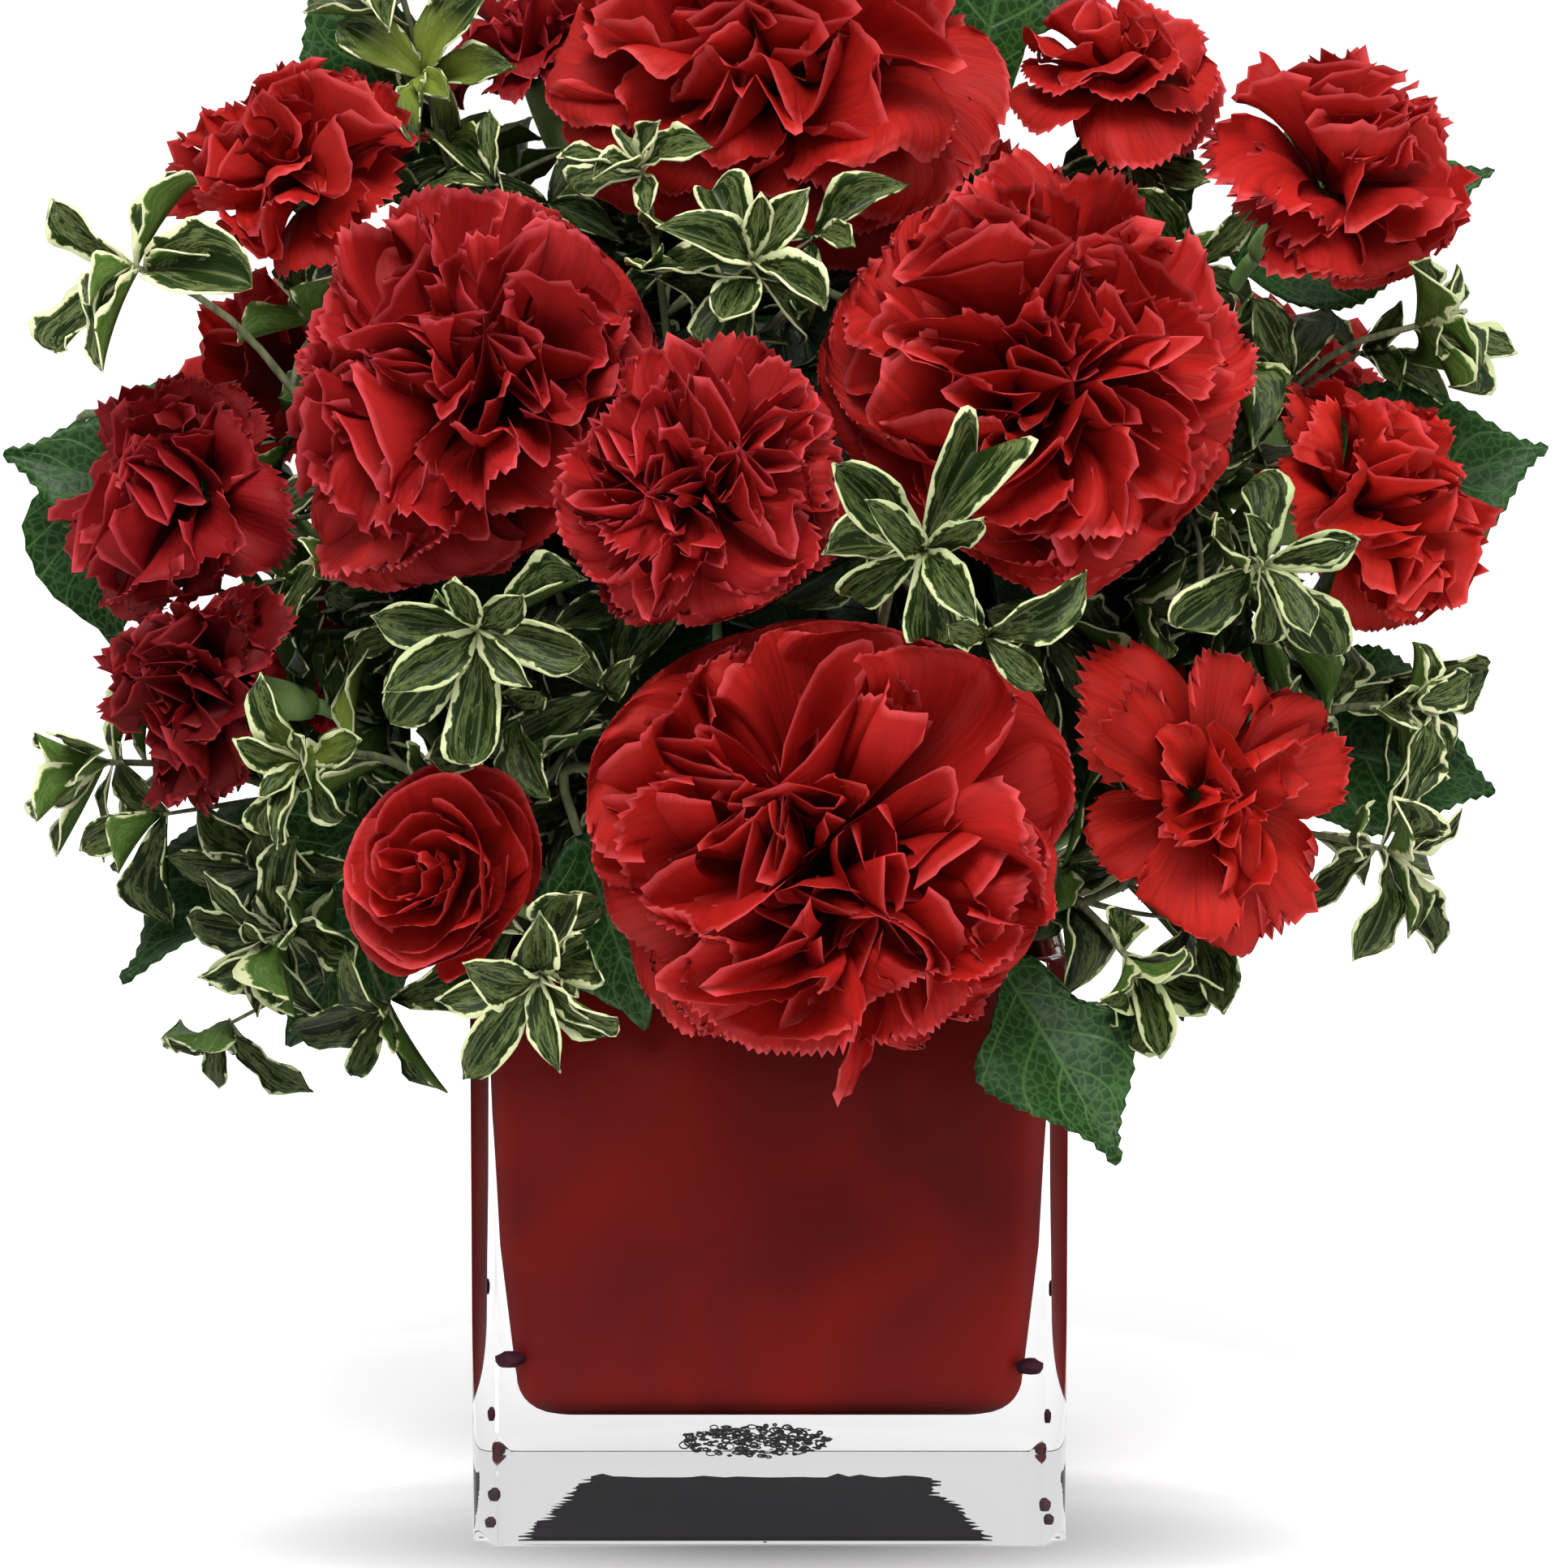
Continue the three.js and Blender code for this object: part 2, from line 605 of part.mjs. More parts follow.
// A point of a petal: t runs from its root to its toothed edge, s across its sector from -1 to 1.
function petalPoint(head, petal, t, s) {
  const [u, w] = across(head.axis);
  const turn = petal.turn + (s * Math.PI) / petal.count;
  const out = mix(u, Math.cos(turn), w, Math.sin(turn));
  const radius = head.radius * SPREAD_OUT;
  const reach = petal.reach * radius;
  const rise = petal.rise * radius;
  const start = { r: 0.16 * radius, h: (0.13 + 0.09 * petal.level) * radius };
  const bend = { r: 0.5 * reach + 0.1 * radius, h: petal.crest * radius };
  const travel = t * (1 - 0.16 * t * s * s);
  const rest = 1 - travel;
  const r = rest ** 2 * start.r + 2 * travel * rest * bend.r + travel ** 2 * reach;
  const h = rest ** 2 * start.h + 2 * travel * rest * bend.h + travel ** 2 * rise;
  const dr = rest * (bend.r - start.r) + travel * (reach - bend.r);
  const dh = rest * (bend.h - start.h) + travel * (rise - bend.h);
  const steep = Math.hypot(dr, dh);
  const wave = petal.ruffle * (1 - 0.8 * s * s) * Math.sin(s * petal.waves * Math.PI + petal.phase);
  const lift = radius * (wave * t * t + petal.roll * s * t);
  return along(along(head.mouth, out, r - (lift * dh) / steep), head.axis, h + (lift * dr) / steep);
}

// The petals of one tier, with their own small differences.
function petalsOf(head, shape, level) {
  const seed = (HEADS.indexOf(head) + 1) * 40 + level * 10;
  return Array.from({ length: shape.count }, (_, k) => ({
    ...shape,
    level,
    turn: (TURN * k) / shape.count + level * GOLDEN_TURN + seed,
    reach: shape.reach * (1 + spread(seed + k + 0.1, 0.07)),
    rise: shape.rise * (1 + spread(seed + k + 0.2, 0.12)),
    waves: 1.2 + draw(seed + k + 0.3) * 0.8,
    phase: draw(seed + k + 0.4) * TURN,
  }));
}

// One tier of petals. They join near their claws, and part at a notch between each two. The lowest
// tier stands in the calyx and each of the others in the one below; the highest closes in a heart.
function petalTier(head, shape, level, last, cell) {
  const { blade, calyx } = head.kind;
  const { radius } = head;
  const petals = petalsOf(head, shape, level);
  const place = (point) => pressed(point, cell);
  const shared = (k, t) => {
    const before = petals.at(k - 1);
    return petalPoint(head, petals[k], t, -1).lerp(petalPoint(head, before, t, 1), 0.5);
  };
  const points = [];
  const triangles = [];
  const size = 3 + shape.teeth;
  petals.forEach((petal, k) => {
    points.push(place(shared(k, CLAW)), place(shared(k, NOTCH)), place(petalPoint(head, petal, BROAD, 0)));
    for (let j = 0; j < shape.teeth; j++) {
      const s = OUTER_SPAN * (-1 + (2 * j) / (shape.teeth - 1));
      points.push(place(petalPoint(head, petal, j % 2 ? 1 - TOOTH : 1, s)));
    }
    const [claw, notch, broad, first] = [0, 1, 2, 3].map((i) => k * size + i);
    const next = ((k + 1) % shape.count) * size;
    const end = first + shape.teeth - 1;
    triangles.push([claw, broad, next], [claw, notch, broad], [next, broad, next + 1], [notch, first, broad]);
    for (let j = first; j < end; j++) triangles.push([broad, j, j + 1]);
    triangles.push([broad, end, next + 1]);
  });
  const claws = petals.map((_, k) => k * size);
  const middle = claws.reduce((sum, i) => sum.add(points[i]), vec(0, 0, 0)).divideScalar(shape.count);
  const crown = place(along(middle, head.axis, last ? 0.3 * radius : 0.03 * radius));
  const root = along(middle, head.axis, -0.14 * radius);
  if (level > 0) return tier(points, triangles, claws, blade, crown, [], root);
  const throat = along(head.mouth, head.axis, -0.23 * calyx);
  const neck = claws.map((i) => along(throat, points[i].clone().sub(middle).normalize(), 0.5 * calyx));
  const foot = along(head.mouth, head.axis, FIT - CALYX_PIT * calyx);
  return tier(points, triangles, claws, blade, crown, [neck], foot);
}

function bloom(head) {
  const cell = cellOf(head, null);
  const room = MOUTH_BACK * head.radius - WALL_GAP;
  cell.walls.push(head.axis.clone().divideScalar(-room));
  const { tiers } = head.kind;
  const innermost = tiers.length - 1;
  return fused(tiers.map((shape, level) => petalTier(head, shape, level, level === innermost, cell)));
}

// A carnation stem with its calyx: the tube ends in five short points round a pit for the petals.
function carnationStem(head, path, radius) {
  const { calyx, calyxLength } = head.kind;
  const up = (h) => along(head.mouth, head.axis, h);
  const lip = up(-0.06 * calyxLength);
  const line = [...path.slice(1).reverse(), up(-calyxLength), up(-0.72 * calyxLength), lip];
  const radii = line.map((_, k) => [radius, calyx * 0.86, calyx][Math.max(0, k - line.length + 3)]);
  const rings = ringsAlong(line, radii, STEM_SIDES);
  const lobes = rings.pop().flatMap((p, i, top) => {
    const between = p.clone().add(top[(i + 1) % STEM_SIDES]).multiplyScalar(0.5).sub(lip).normalize();
    const tip = along(p, head.axis, 0.05 * calyxLength);
    return [tip, along(along(lip, between, calyx * 0.94), head.axis, -0.3 * calyx)];
  });
  const points = [...rings.flat(), ...lobes, up(-CALYX_PIT * calyx), line[0]];
  const mouth = rings.length * STEM_SIDES;
  const [pit, end] = [points.length - 2, points.length - 1];
  const triangles = [];
  for (let i = 0; i < STEM_SIDES; i++) {
    const j = (i + 1) % STEM_SIDES;
    for (let first = 0; first + STEM_SIDES < mouth; first += STEM_SIDES) {
      const [a, b, c, d] = [first + i, first + j, first + STEM_SIDES + i, first + STEM_SIDES + j];
      triangles.push([a, b, d], [a, d, c]);
    }
    const [a, b] = [mouth - STEM_SIDES + i, mouth - STEM_SIDES + j];
    const [tip, dip, nextTip] = [mouth + 2 * i, mouth + 2 * i + 1, mouth + 2 * j];
    triangles.push([a, dip, tip], [a, b, dip], [b, nextTip, dip]);
    triangles.push([tip, dip, pit], [dip, nextTip, pit], [j, i, end]);
  }
  return solid(points, triangles);
}

// The two tiers of leaves round a twig's tip: small, blunt leaves folded along their ribs.
const LEAF_TIERS = [
  { count: 5, open: 1.28, length: 1.3, width: 0.28 },
  { count: 5, open: 0.7, length: 0.95, width: 0.2 },
];
const LEAF_OUTLINE = [
  [0.62, -1],
  [1, 0],
  [0.62, 1],
];
const LEAF_SHAPE = { fold: 0.08, droop: 0.12, hub: 2, step: 0.16 };

function leafTier(whorl, level, seed, cell, stem) {
  const [u, w] = across(whorl.axis);
  const shape = LEAF_TIERS[level];
  const hub = along(whorl.centre, whorl.axis, (level - 0.6) * LEAF_SHAPE.step * whorl.radius);
  const leaves = Array.from({ length: shape.count }, (_, k) => {
    const turn = (TURN * k) / shape.count + seed + spread(seed + k, 0.1);
    const open = shape.open + spread(seed + k + 0.3, 0.1);
    const out = mix(u, Math.cos(turn), w, Math.sin(turn));
    return {
      axis: mix(whorl.axis, Math.cos(open), out, Math.sin(open)),
      side: whorl.axis.clone().cross(out),
      up: mix(whorl.axis, Math.sin(open), out, -Math.cos(open)),
      length: whorl.radius * shape.length * (1 + spread(seed + k + 0.6, 0.12)),
    };
  });
  const points = [];
  const triangles = [];
  const size = 1 + LEAF_OUTLINE.length;
  leaves.forEach((leaf, k) => {
    const between = leaves.at(k - 1).axis.clone().add(leaf.axis).normalize();
    points.push(along(hub, between, LEAF_SHAPE.hub));
    for (const [t, s] of LEAF_OUTLINE) {
      const lift = (s ? LEAF_SHAPE.fold : 0) - LEAF_SHAPE.droop * t * t;
      const p = along(along(hub, leaf.axis, t * leaf.length), leaf.side, s * shape.width * leaf.length);
      points.push(pressed(along(p, leaf.up, lift * leaf.length), cell));
    }
    const [root, left, tip, right] = [0, 1, 2, 3].map((i) => k * size + i);
    const next = ((k + 1) % shape.count) * size;
    triangles.push([root, left, tip], [root, tip, next], [next, tip, right]);
  });
  const claws = leaves.map((_, k) => k * size);
  const crown = along(hub, whorl.axis, 1.2);
  if (level > 0) return tier(points, triangles, claws, LEAF_BLADE, crown, [], along(hub, whorl.axis, -3));
  const path = [hub, ...stem.path.slice(1)];
  const rings = ringsAlong(path, stem.radius, shape.count, points[0].clone().sub(hub)).slice(1);
  const turned = rings.map((ring) => ring.map((_, i) => ring[(ring.length - i) % ring.length]));
  return tier(points, triangles, claws, LEAF_BLADE, crown, turned, path.at(-1));
}

// A lemon leaf: broad, with a drawn-out tip and a toothed edge.
const BROAD_OUTLINE = [
  [0.05, 0.11],
  [0.17, 0.34],
  [0.3, 0.46],
  [0.44, 0.5],
  [0.6, 0.44],
  [0.76, 0.27],
  [0.9, 0.09],
];

function leafOnTwig(leaf, cell, stem) {
  const length = leaf.end.distanceTo(leaf.root);
  const side = leaf.axis.clone().cross(leaf.up).normalize();
  const normal = side.clone().cross(leaf.axis);
  const place = (t, s) => {
    const lift = 0.12 * Math.abs(s) - 0.1 * t * t;
    const p = along(along(leaf.root, leaf.axis, t * length), side, s * leaf.width);
    return pressed(along(p, normal, lift * length), cell);
  };
  const rib = [0, 0.3, 0.6, 1].map((t) => place(t, 0));
  const stalk = [rib[0].clone().lerp(rib[1], 0.2), ...stem.path.slice(1)];
  const edge = (sign) => BROAD_OUTLINE.map(([t, s], k) => place(t, sign * (k % 2 ? s * 1.04 : s * 0.96)));
  const points = [...rib, ...edge(1), ...edge(-1)];
  const half = (first, flip) => {
    const fans = [
      [0, first, first + 1],
      [0, first + 1, 1],
      [1, first + 1, first + 2],
      [1, first + 2, first + 3],
      [1, first + 3, 2],
      [2, first + 3, first + 4],
      [2, first + 4, first + 5],
      [2, first + 5, first + 6],
      [2, first + 6, 3],
    ];
    return flip ? fans.map(([a, b, c]) => [a, c, b]) : fans;
  };
  const left = rib.length;
  const both = [...half(left, false), ...half(left + BROAD_OUTLINE.length, true)];
  const made = bladeFaces(points, both, LEAF_BLADE);
  return [solid(made.points, made.triangles), bar(stalk, stem.radius, STEM_SIDES - 1)];
}

// The whole of a plant: each stem with its calyx, its tiers of small leaves or its broad leaf.
function plantSolid(plant, index) {
  const parts = plant.stems.flatMap((stem, k) => {
    if (plant.heads) return [carnationStem(plant.heads[k], stem.path, stem.radius)];
    if (plant.leaves) return leafOnTwig(plant.leaves[k], cellOf(plant.leaves[k], plant), stem);
    const whorl = plant.whorls[k];
    const cell = cellOf(whorl, plant);
    const seed = index * 3 + k * 1.7;
    return LEAF_TIERS.map((_, level) => leafTier(whorl, level, seed + level * 0.6, cell, stem));
  });
  return fused(parts);
}

const PLANT_MATERIALS = {
  green: MATERIALS.stem,
  twig: MATERIALS.pittosporum,
  branch: MATERIALS.lemonLeaf,
};

const bouquet = new THREE.Group();
bouquet.add(node("vase_glass", glassVase(), MATERIALS.glass));
bouquet.add(node("vase_red_coat", redCoat(), MATERIALS.coat));
bouquet.add(node("flower_foam", foamBlock(plants.flatMap((plant) => plant.stems)), MATERIALS.foam));
for (const head of HEADS) bouquet.add(node(`carnation_${head.name}`, bloom(head), MATERIALS.petals));
plants.forEach((plant, index) => {
  bouquet.add(node(plant.name, plantSolid(plant, index), PLANT_MATERIALS[plant.kind]));
});

export default bouquet;
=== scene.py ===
import math

import bpy
import numpy as np
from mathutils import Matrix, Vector


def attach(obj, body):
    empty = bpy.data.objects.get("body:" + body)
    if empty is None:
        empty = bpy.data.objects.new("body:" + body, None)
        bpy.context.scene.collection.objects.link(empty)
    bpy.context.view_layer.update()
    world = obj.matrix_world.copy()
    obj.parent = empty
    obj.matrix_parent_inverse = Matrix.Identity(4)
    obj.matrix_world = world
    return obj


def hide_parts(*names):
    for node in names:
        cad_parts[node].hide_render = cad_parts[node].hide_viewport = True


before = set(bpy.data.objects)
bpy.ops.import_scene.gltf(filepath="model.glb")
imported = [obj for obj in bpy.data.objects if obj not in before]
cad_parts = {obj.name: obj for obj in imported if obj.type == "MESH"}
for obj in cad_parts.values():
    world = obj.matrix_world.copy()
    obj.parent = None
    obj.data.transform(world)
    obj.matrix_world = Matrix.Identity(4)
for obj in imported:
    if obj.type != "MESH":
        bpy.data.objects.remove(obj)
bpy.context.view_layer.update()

# The table is a plain white top, far wider than the camera sees. A soft shadow round the vase is painted
# into its colour, seen only from the camera, and it glows a little so that it stays white. The light is
# soft too: a broad lamp high in front, a weaker one at the right, and the white room. A dark screen lies
# round the vase and shows only as a reflection, so that the glass keeps its deep colour.
TURN = 2 * math.pi
TABLE_WIDTH = 60
TABLE_DROP = 0.0002
TABLE_CORNERS = ((-1, -1), (1, -1), (1, 1), (-1, 1))
TABLE_WHITE = (0.9, 0.9, 0.9)
TABLE_GLOW = 0.5
PAINTED_SHADOW_MIDDLE = -0.052
PAINTED_SHADOW_STRETCH = 2.8
# Each tone of the painted shadow is how far it reaches from the middle and how light it is.
PAINTED_SHADOW_TONES = [(0.012, 0.13), (0.068, 0.355), (0.09, 0.445), (0.11, 0.55), (0.13, 0.62), (0.17, 0.9)]
SCREEN_INNER = 0.15
SCREEN_OUTER = 3
SCREEN_SIDES = 48
SCREEN_LEVEL = 0.001
SCREEN_BLACK = (0.01, 0.01, 0.01, 1)
ROOM_WHITE = (1, 1, 1, 1)
ROOM_LIGHT = 0.7
# Each lamp is its name, its place, its width and its power.
LAMPS = [
    ("lamp_high", (-0.1, -0.9, 1.35), 0.8, 29),
    ("lamp_right", (1.2, -0.6, 0.6), 0.6, 4),
]
LAMPS_LOOK_AT = (0, 0, 0.2)


def shader_of(name):
    """A new material with its node tree and its main shader."""
    material = bpy.data.materials.new(name)
    material.use_nodes = True
    return material, material.node_tree, material.node_tree.nodes["Principled BSDF"]


def place_of(tree):
    """Where each point of a piece is."""
    return tree.nodes.new("ShaderNodeTexCoord").outputs["Object"]


def stretched(tree, vector, scales, shift=(0, 0, 0)):
    """A vector with each of its parts made larger, so that a pattern runs long one way, and shifted."""
    mapping = tree.nodes.new("ShaderNodeMapping")
    mapping.inputs["Scale"].default_value = scales
    mapping.inputs["Location"].default_value = shift
    tree.links.new(vector, mapping.inputs["Vector"])
    return mapping.outputs["Vector"]


def ramp(tree, value, stops):
    """A colour that follows a value through stops, each with its position and its colour."""
    colours = tree.nodes.new("ShaderNodeValToRGB")
    elements = colours.color_ramp.elements
    while len(elements) < len(stops):
        elements.new(0.5)
    for element, (position, colour) in zip(elements, stops):
        element.position = position
        element.color = (*colour, 1)
    tree.links.new(value, colours.inputs["Fac"])
    return colours.outputs["Color"]


def mixed(tree, share, first, second, blend="MIX"):
    """Two colours mixed. The share is a number or a socket."""
    mix = tree.nodes.new("ShaderNodeMix")
    mix.data_type = "RGBA"
    mix.blend_type = blend
    if isinstance(share, float):
        mix.inputs["Factor"].default_value = share
    else:
        tree.links.new(share, mix.inputs["Factor"])
    for socket, colour in ((mix.inputs[6], first), (mix.inputs[7], second)):
        if isinstance(colour, tuple):
            socket.default_value = (*colour, 1)
        else:
            tree.links.new(colour, socket)
    return mix.outputs[2]


def studio_piece(name, points, faces, material):
    """A flat piece of the studio, in metres."""
    mesh = bpy.data.meshes.new(name)
    mesh.from_pydata(points, [], faces)
    mesh.materials.append(material)
    made = bpy.data.objects.new(name, mesh)
    bpy.context.collection.objects.link(made)
    return made


def turned_to(place, target):
    """The rotation of a lamp or camera at a place that looks at a target."""
    way = Vector(target) - Vector(place)
    return way.to_track_quat("-Z", "Y").to_euler()


white, white_tree, white_shader = shader_of("white table")
painted_shadow_shift = (0, -PAINTED_SHADOW_STRETCH * PAINTED_SHADOW_MIDDLE, 0)
round_vase = stretched(white_tree, place_of(white_tree), (1, PAINTED_SHADOW_STRETCH, 1), painted_shadow_shift)
from_vase = white_tree.nodes.new("ShaderNodeVectorMath")
from_vase.operation = "LENGTH"
white_tree.links.new(round_vase, from_vase.inputs[0])
# The shadow round the vase is painted: the table's colour darkens towards the foot of the vase.
painted_shadow_stops = [(reach, (tone, tone, tone)) for reach, tone in PAINTED_SHADOW_TONES]
shade = ramp(white_tree, from_vase.outputs["Value"], painted_shadow_stops)
seen_directly = white_tree.nodes.new("ShaderNodeLightPath").outputs["Is Camera Ray"]
table_colour = mixed(white_tree, seen_directly, TABLE_WHITE, shade)
white_tree.links.new(table_colour, white_shader.inputs["Base Color"])
white_tree.links.new(table_colour, white_shader.inputs["Emission Color"])
white_shader.inputs["Emission Strength"].default_value = TABLE_GLOW
white_shader.inputs["Roughness"].default_value = 0.7
table_points = [(x * TABLE_WIDTH / 2, y * TABLE_WIDTH / 2, -TABLE_DROP) for x, y in TABLE_CORNERS]
table = studio_piece("table", table_points, [range(4)], white)

screen_turns = [TURN * i / SCREEN_SIDES for i in range(SCREEN_SIDES)]
screen_points = [
    (radius * math.cos(turn), radius * math.sin(turn), SCREEN_LEVEL)
    for radius in (SCREEN_INNER, SCREEN_OUTER)
    for turn in screen_turns
]
screen_faces = [
    (i, (i + 1) % SCREEN_SIDES, SCREEN_SIDES + (i + 1) % SCREEN_SIDES, SCREEN_SIDES + i)
    for i in range(SCREEN_SIDES)
]
black, _, black_shader = shader_of("dark screen")
black_shader.inputs["Base Color"].default_value = SCREEN_BLACK
black_shader.inputs["Specular IOR Level"].default_value = 0.0
screen = studio_piece("screen", screen_points, screen_faces, black)
screen.visible_camera = False
screen.visible_diffuse = False
screen.visible_transmission = False
screen.visible_shadow = False

room = bpy.data.worlds.new("white room")
room.use_nodes = True
room_nodes, room_links = room.node_tree.nodes, room.node_tree.links
daylight = room_nodes["Background"]
daylight.inputs["Color"].default_value = ROOM_WHITE
daylight.inputs["Strength"].default_value = ROOM_LIGHT
backdrop = room_nodes.new("ShaderNodeBackground")
backdrop.inputs["Color"].default_value = ROOM_WHITE
seen = room_nodes.new("ShaderNodeLightPath")
behind = room_nodes.new("ShaderNodeMixShader")
room_links.new(seen.outputs["Is Camera Ray"], behind.inputs["Fac"])
room_links.new(daylight.outputs["Background"], behind.inputs[1])
room_links.new(backdrop.outputs["Background"], behind.inputs[2])
room_links.new(behind.outputs["Shader"], room_nodes["World Output"].inputs["Surface"])
bpy.context.scene.world = room
bpy.context.scene.view_settings.view_transform = "Standard"

for lamp_name, place, width, power in LAMPS:
    lamp = bpy.data.objects.new(lamp_name, bpy.data.lights.new(lamp_name, "AREA"))
    lamp.data.size = width
    lamp.data.energy = power
    lamp.location = place
    lamp.rotation_euler = turned_to(place, LAMPS_LOOK_AT)
    bpy.context.collection.objects.link(lamp)

# The camera looks slightly down on the vase, from about as far as the photograph was taken. Its view
# ends just above the middle of the top bloom.
CAMERA_TARGET = (0.0028, -0.057, 0.1477)
CAMERA_DISTANCE = 1.2
CAMERA_DOWN = math.radians(8)
SENSOR = 36
VIEW_WIDTH = 0.296

camera = bpy.data.objects.new("camera", bpy.data.cameras.new("camera"))
back_off = CAMERA_DISTANCE * math.cos(CAMERA_DOWN)
lift_up = CAMERA_DISTANCE * math.sin(CAMERA_DOWN)
camera.location = (CAMERA_TARGET[0], CAMERA_TARGET[1] - back_off, CAMERA_TARGET[2] + lift_up)
camera.rotation_euler = turned_to(camera.location, CAMERA_TARGET)
camera.data.sensor_width = SENSOR
camera.data.sensor_height = SENSOR
camera.data.sensor_fit = "HORIZONTAL"
camera.data.lens = SENSOR * CAMERA_DISTANCE / VIEW_WIDTH
bpy.context.collection.objects.link(camera)
bpy.context.scene.camera = camera

# The vase is one heavy cube of pressed clear glass. Its walls thin towards the rim, its cavity has
# soft corners, and the thick clear floor gives it its weight. All its edges are fire-polished round.
VASE_SIDE = 114
VASE_HEIGHT = 114
VASE_CORNERS = ((1, 1), (-1, 1), (-1, -1), (1, -1))
CORNER_RADIUS = 4
CORNER_STEPS = 8
EDGE_STRIP = 0.8
FOOT_ROUNDING = 0.3
FOOT_CORNER_ROUNDING = 3.2
FOOT_STEPS = 6
RIM_WALL = 3.6
RIM_ROUNDING = 1.4
RIM_STEPS = 4
LOW_WALL = 8.5
FLOOR_THICKNESS = 23.5
CAVITY_CORNER = 6
CAVITY_ROUNDING = 8
CAVITY_STEPS = 8
CAVITY_BELOW_RIM = 3
# How far the cavity has widened, as a share of the way to its width at the rim, and how high above
# its floor.
CAVITY_WIDENING = [(0.06, 10), (0.6, 34), (0.85, 60)]


def square_ring(half, corner, z):
    """A level ring round a square with rounded corners, with a narrow strip beside each corner."""
    ring = []
    straight = half - corner
    for quarter, (sx, sy) in enumerate(VASE_CORNERS):
        turns = [math.pi / 2 * (quarter + step / CORNER_STEPS) for step in range(CORNER_STEPS + 1)]
        arc = [(sx * straight + corner * math.cos(a), sy * straight + corner * math.sin(a)) for a in turns]
        along_first = (-math.sin(turns[0]), math.cos(turns[0]))
        along_last = (-math.sin(turns[-1]), math.cos(turns[-1]))
        before = [arc[0][i] - EDGE_STRIP * along_first[i] for i in (0, 1)]
        after = [arc[-1][i] + EDGE_STRIP * along_last[i] for i in (0, 1)]
        ring += [(x, y, z) for x, y in [before, *arc, after]]
    return np.array(ring)


def quarter_turns(steps):
    """For each step of a quarter round, how far it still is from its two ends, from 0 to 1."""
    for step in range(steps + 1):
        a = math.pi / 2 * step / steps
        yield 1 - math.sin(a), 1 - math.cos(a)


def cavity_rings(inset):
    """The cavity from its rounded floor up to just below the rim, drawn in by an inset."""
    low = VASE_SIDE / 2 - LOW_WALL - inset
    high = VASE_SIDE / 2 - RIM_WALL - inset
    floor = FLOOR_THICKNESS + inset
    rings = [square_ring(low - CAVITY_ROUNDING - 1, CORNER_RADIUS, floor)]
    for aside, above in quarter_turns(CAVITY_STEPS):
        inward = CAVITY_ROUNDING * aside
        level = floor + CAVITY_ROUNDING * above
        rings.append(square_ring(low - inward, CAVITY_CORNER - inward * 0.2, level))
    for share, height in CAVITY_WIDENING:
        rings.append(square_ring(low + (high - low) * share, CAVITY_CORNER, floor + height))
    rings.append(square_ring(high, CAVITY_CORNER, VASE_HEIGHT - CAVITY_BELOW_RIM))
    return rings


def rings_mesh(rings):
    """Points and faces of a skin over rings of equal length, with both ends closed flat."""
    count = len(rings[0])
    points = np.concatenate(rings)
    faces = []
    for r in range(len(rings) - 1):
        for i in range(count):
            j = (i + 1) % count
            faces.append((r * count + i, r * count + j, (r + 1) * count + j, (r + 1) * count + i))
    faces.append(tuple(range(count))[::-1])
    faces.append(tuple(range(len(points) - count, len(points))))
    return points, faces


def piece(name, points, faces, materials, nodes=()):
    """A smooth piece of the bouquet from points in millimetres, which stands for some CAD nodes."""
    mesh = bpy.data.meshes.new(name)
    mesh.from_pydata((np.asarray(points) * 0.001).tolist(), [], faces)
    mesh.shade_smooth()
    for material in materials:
        mesh.materials.append(material)
    made = bpy.data.objects.new(name, mesh)
    bpy.context.collection.objects.link(made)
    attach(made, "root")
    if nodes:
        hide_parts(*nodes)
    return made


half_vase = VASE_SIDE / 2
inner_rim = half_vase - RIM_WALL
round_one_corner = [math.sin(math.pi * step / CORNER_STEPS) for step in range(CORNER_STEPS + 1)]
at_corner = np.array([0, *round_one_corner, 0] * 4)
vase_rings = [square_ring(half_vase - FOOT_CORNER_ROUNDING - 1, CORNER_RADIUS - 1, 0)]
for inward, above in quarter_turns(FOOT_STEPS):
    along_edge, round_corner = [
        square_ring(half_vase - size * inward, CORNER_RADIUS, size * above)
        for size in (FOOT_ROUNDING, FOOT_CORNER_ROUNDING)
    ]
    vase_rings.append(along_edge + (round_corner - along_edge) * at_corner[:, None])
vase_rings.append(square_ring(half_vase, CORNER_RADIUS, FOOT_CORNER_ROUNDING + 1))
vase_rings.append(square_ring(half_vase, CORNER_RADIUS, VASE_HEIGHT - RIM_ROUNDING - 1))
for below, inward in quarter_turns(RIM_STEPS):
    inward *= RIM_ROUNDING
    level = VASE_HEIGHT - RIM_ROUNDING * below
    vase_rings.append(square_ring(half_vase - inward, CORNER_RADIUS - inward, level))
for inward, below in quarter_turns(RIM_STEPS):
    level = VASE_HEIGHT - RIM_ROUNDING * below
    vase_rings.append(square_ring(inner_rim + RIM_ROUNDING * inward, CAVITY_CORNER, level))
vase_rings += cavity_rings(0)[::-1]

glass, _, glass_shader = shader_of("clear glass")
glass_shader.inputs["Base Color"].default_value = (0.975, 0.975, 0.99, 1)
glass_shader.inputs["Roughness"].default_value = 0.0
glass_shader.inputs["IOR"].default_value = 1.5
glass_shader.inputs["Specular Tint"].default_value = (0.35, 0.35, 0.38, 1)
glass_shader.inputs["Transmission Weight"].default_value = 1.0
vase = piece("glass_vase", *rings_mesh(vase_rings), [glass], ["vase_glass"])
vase.visible_shadow = False

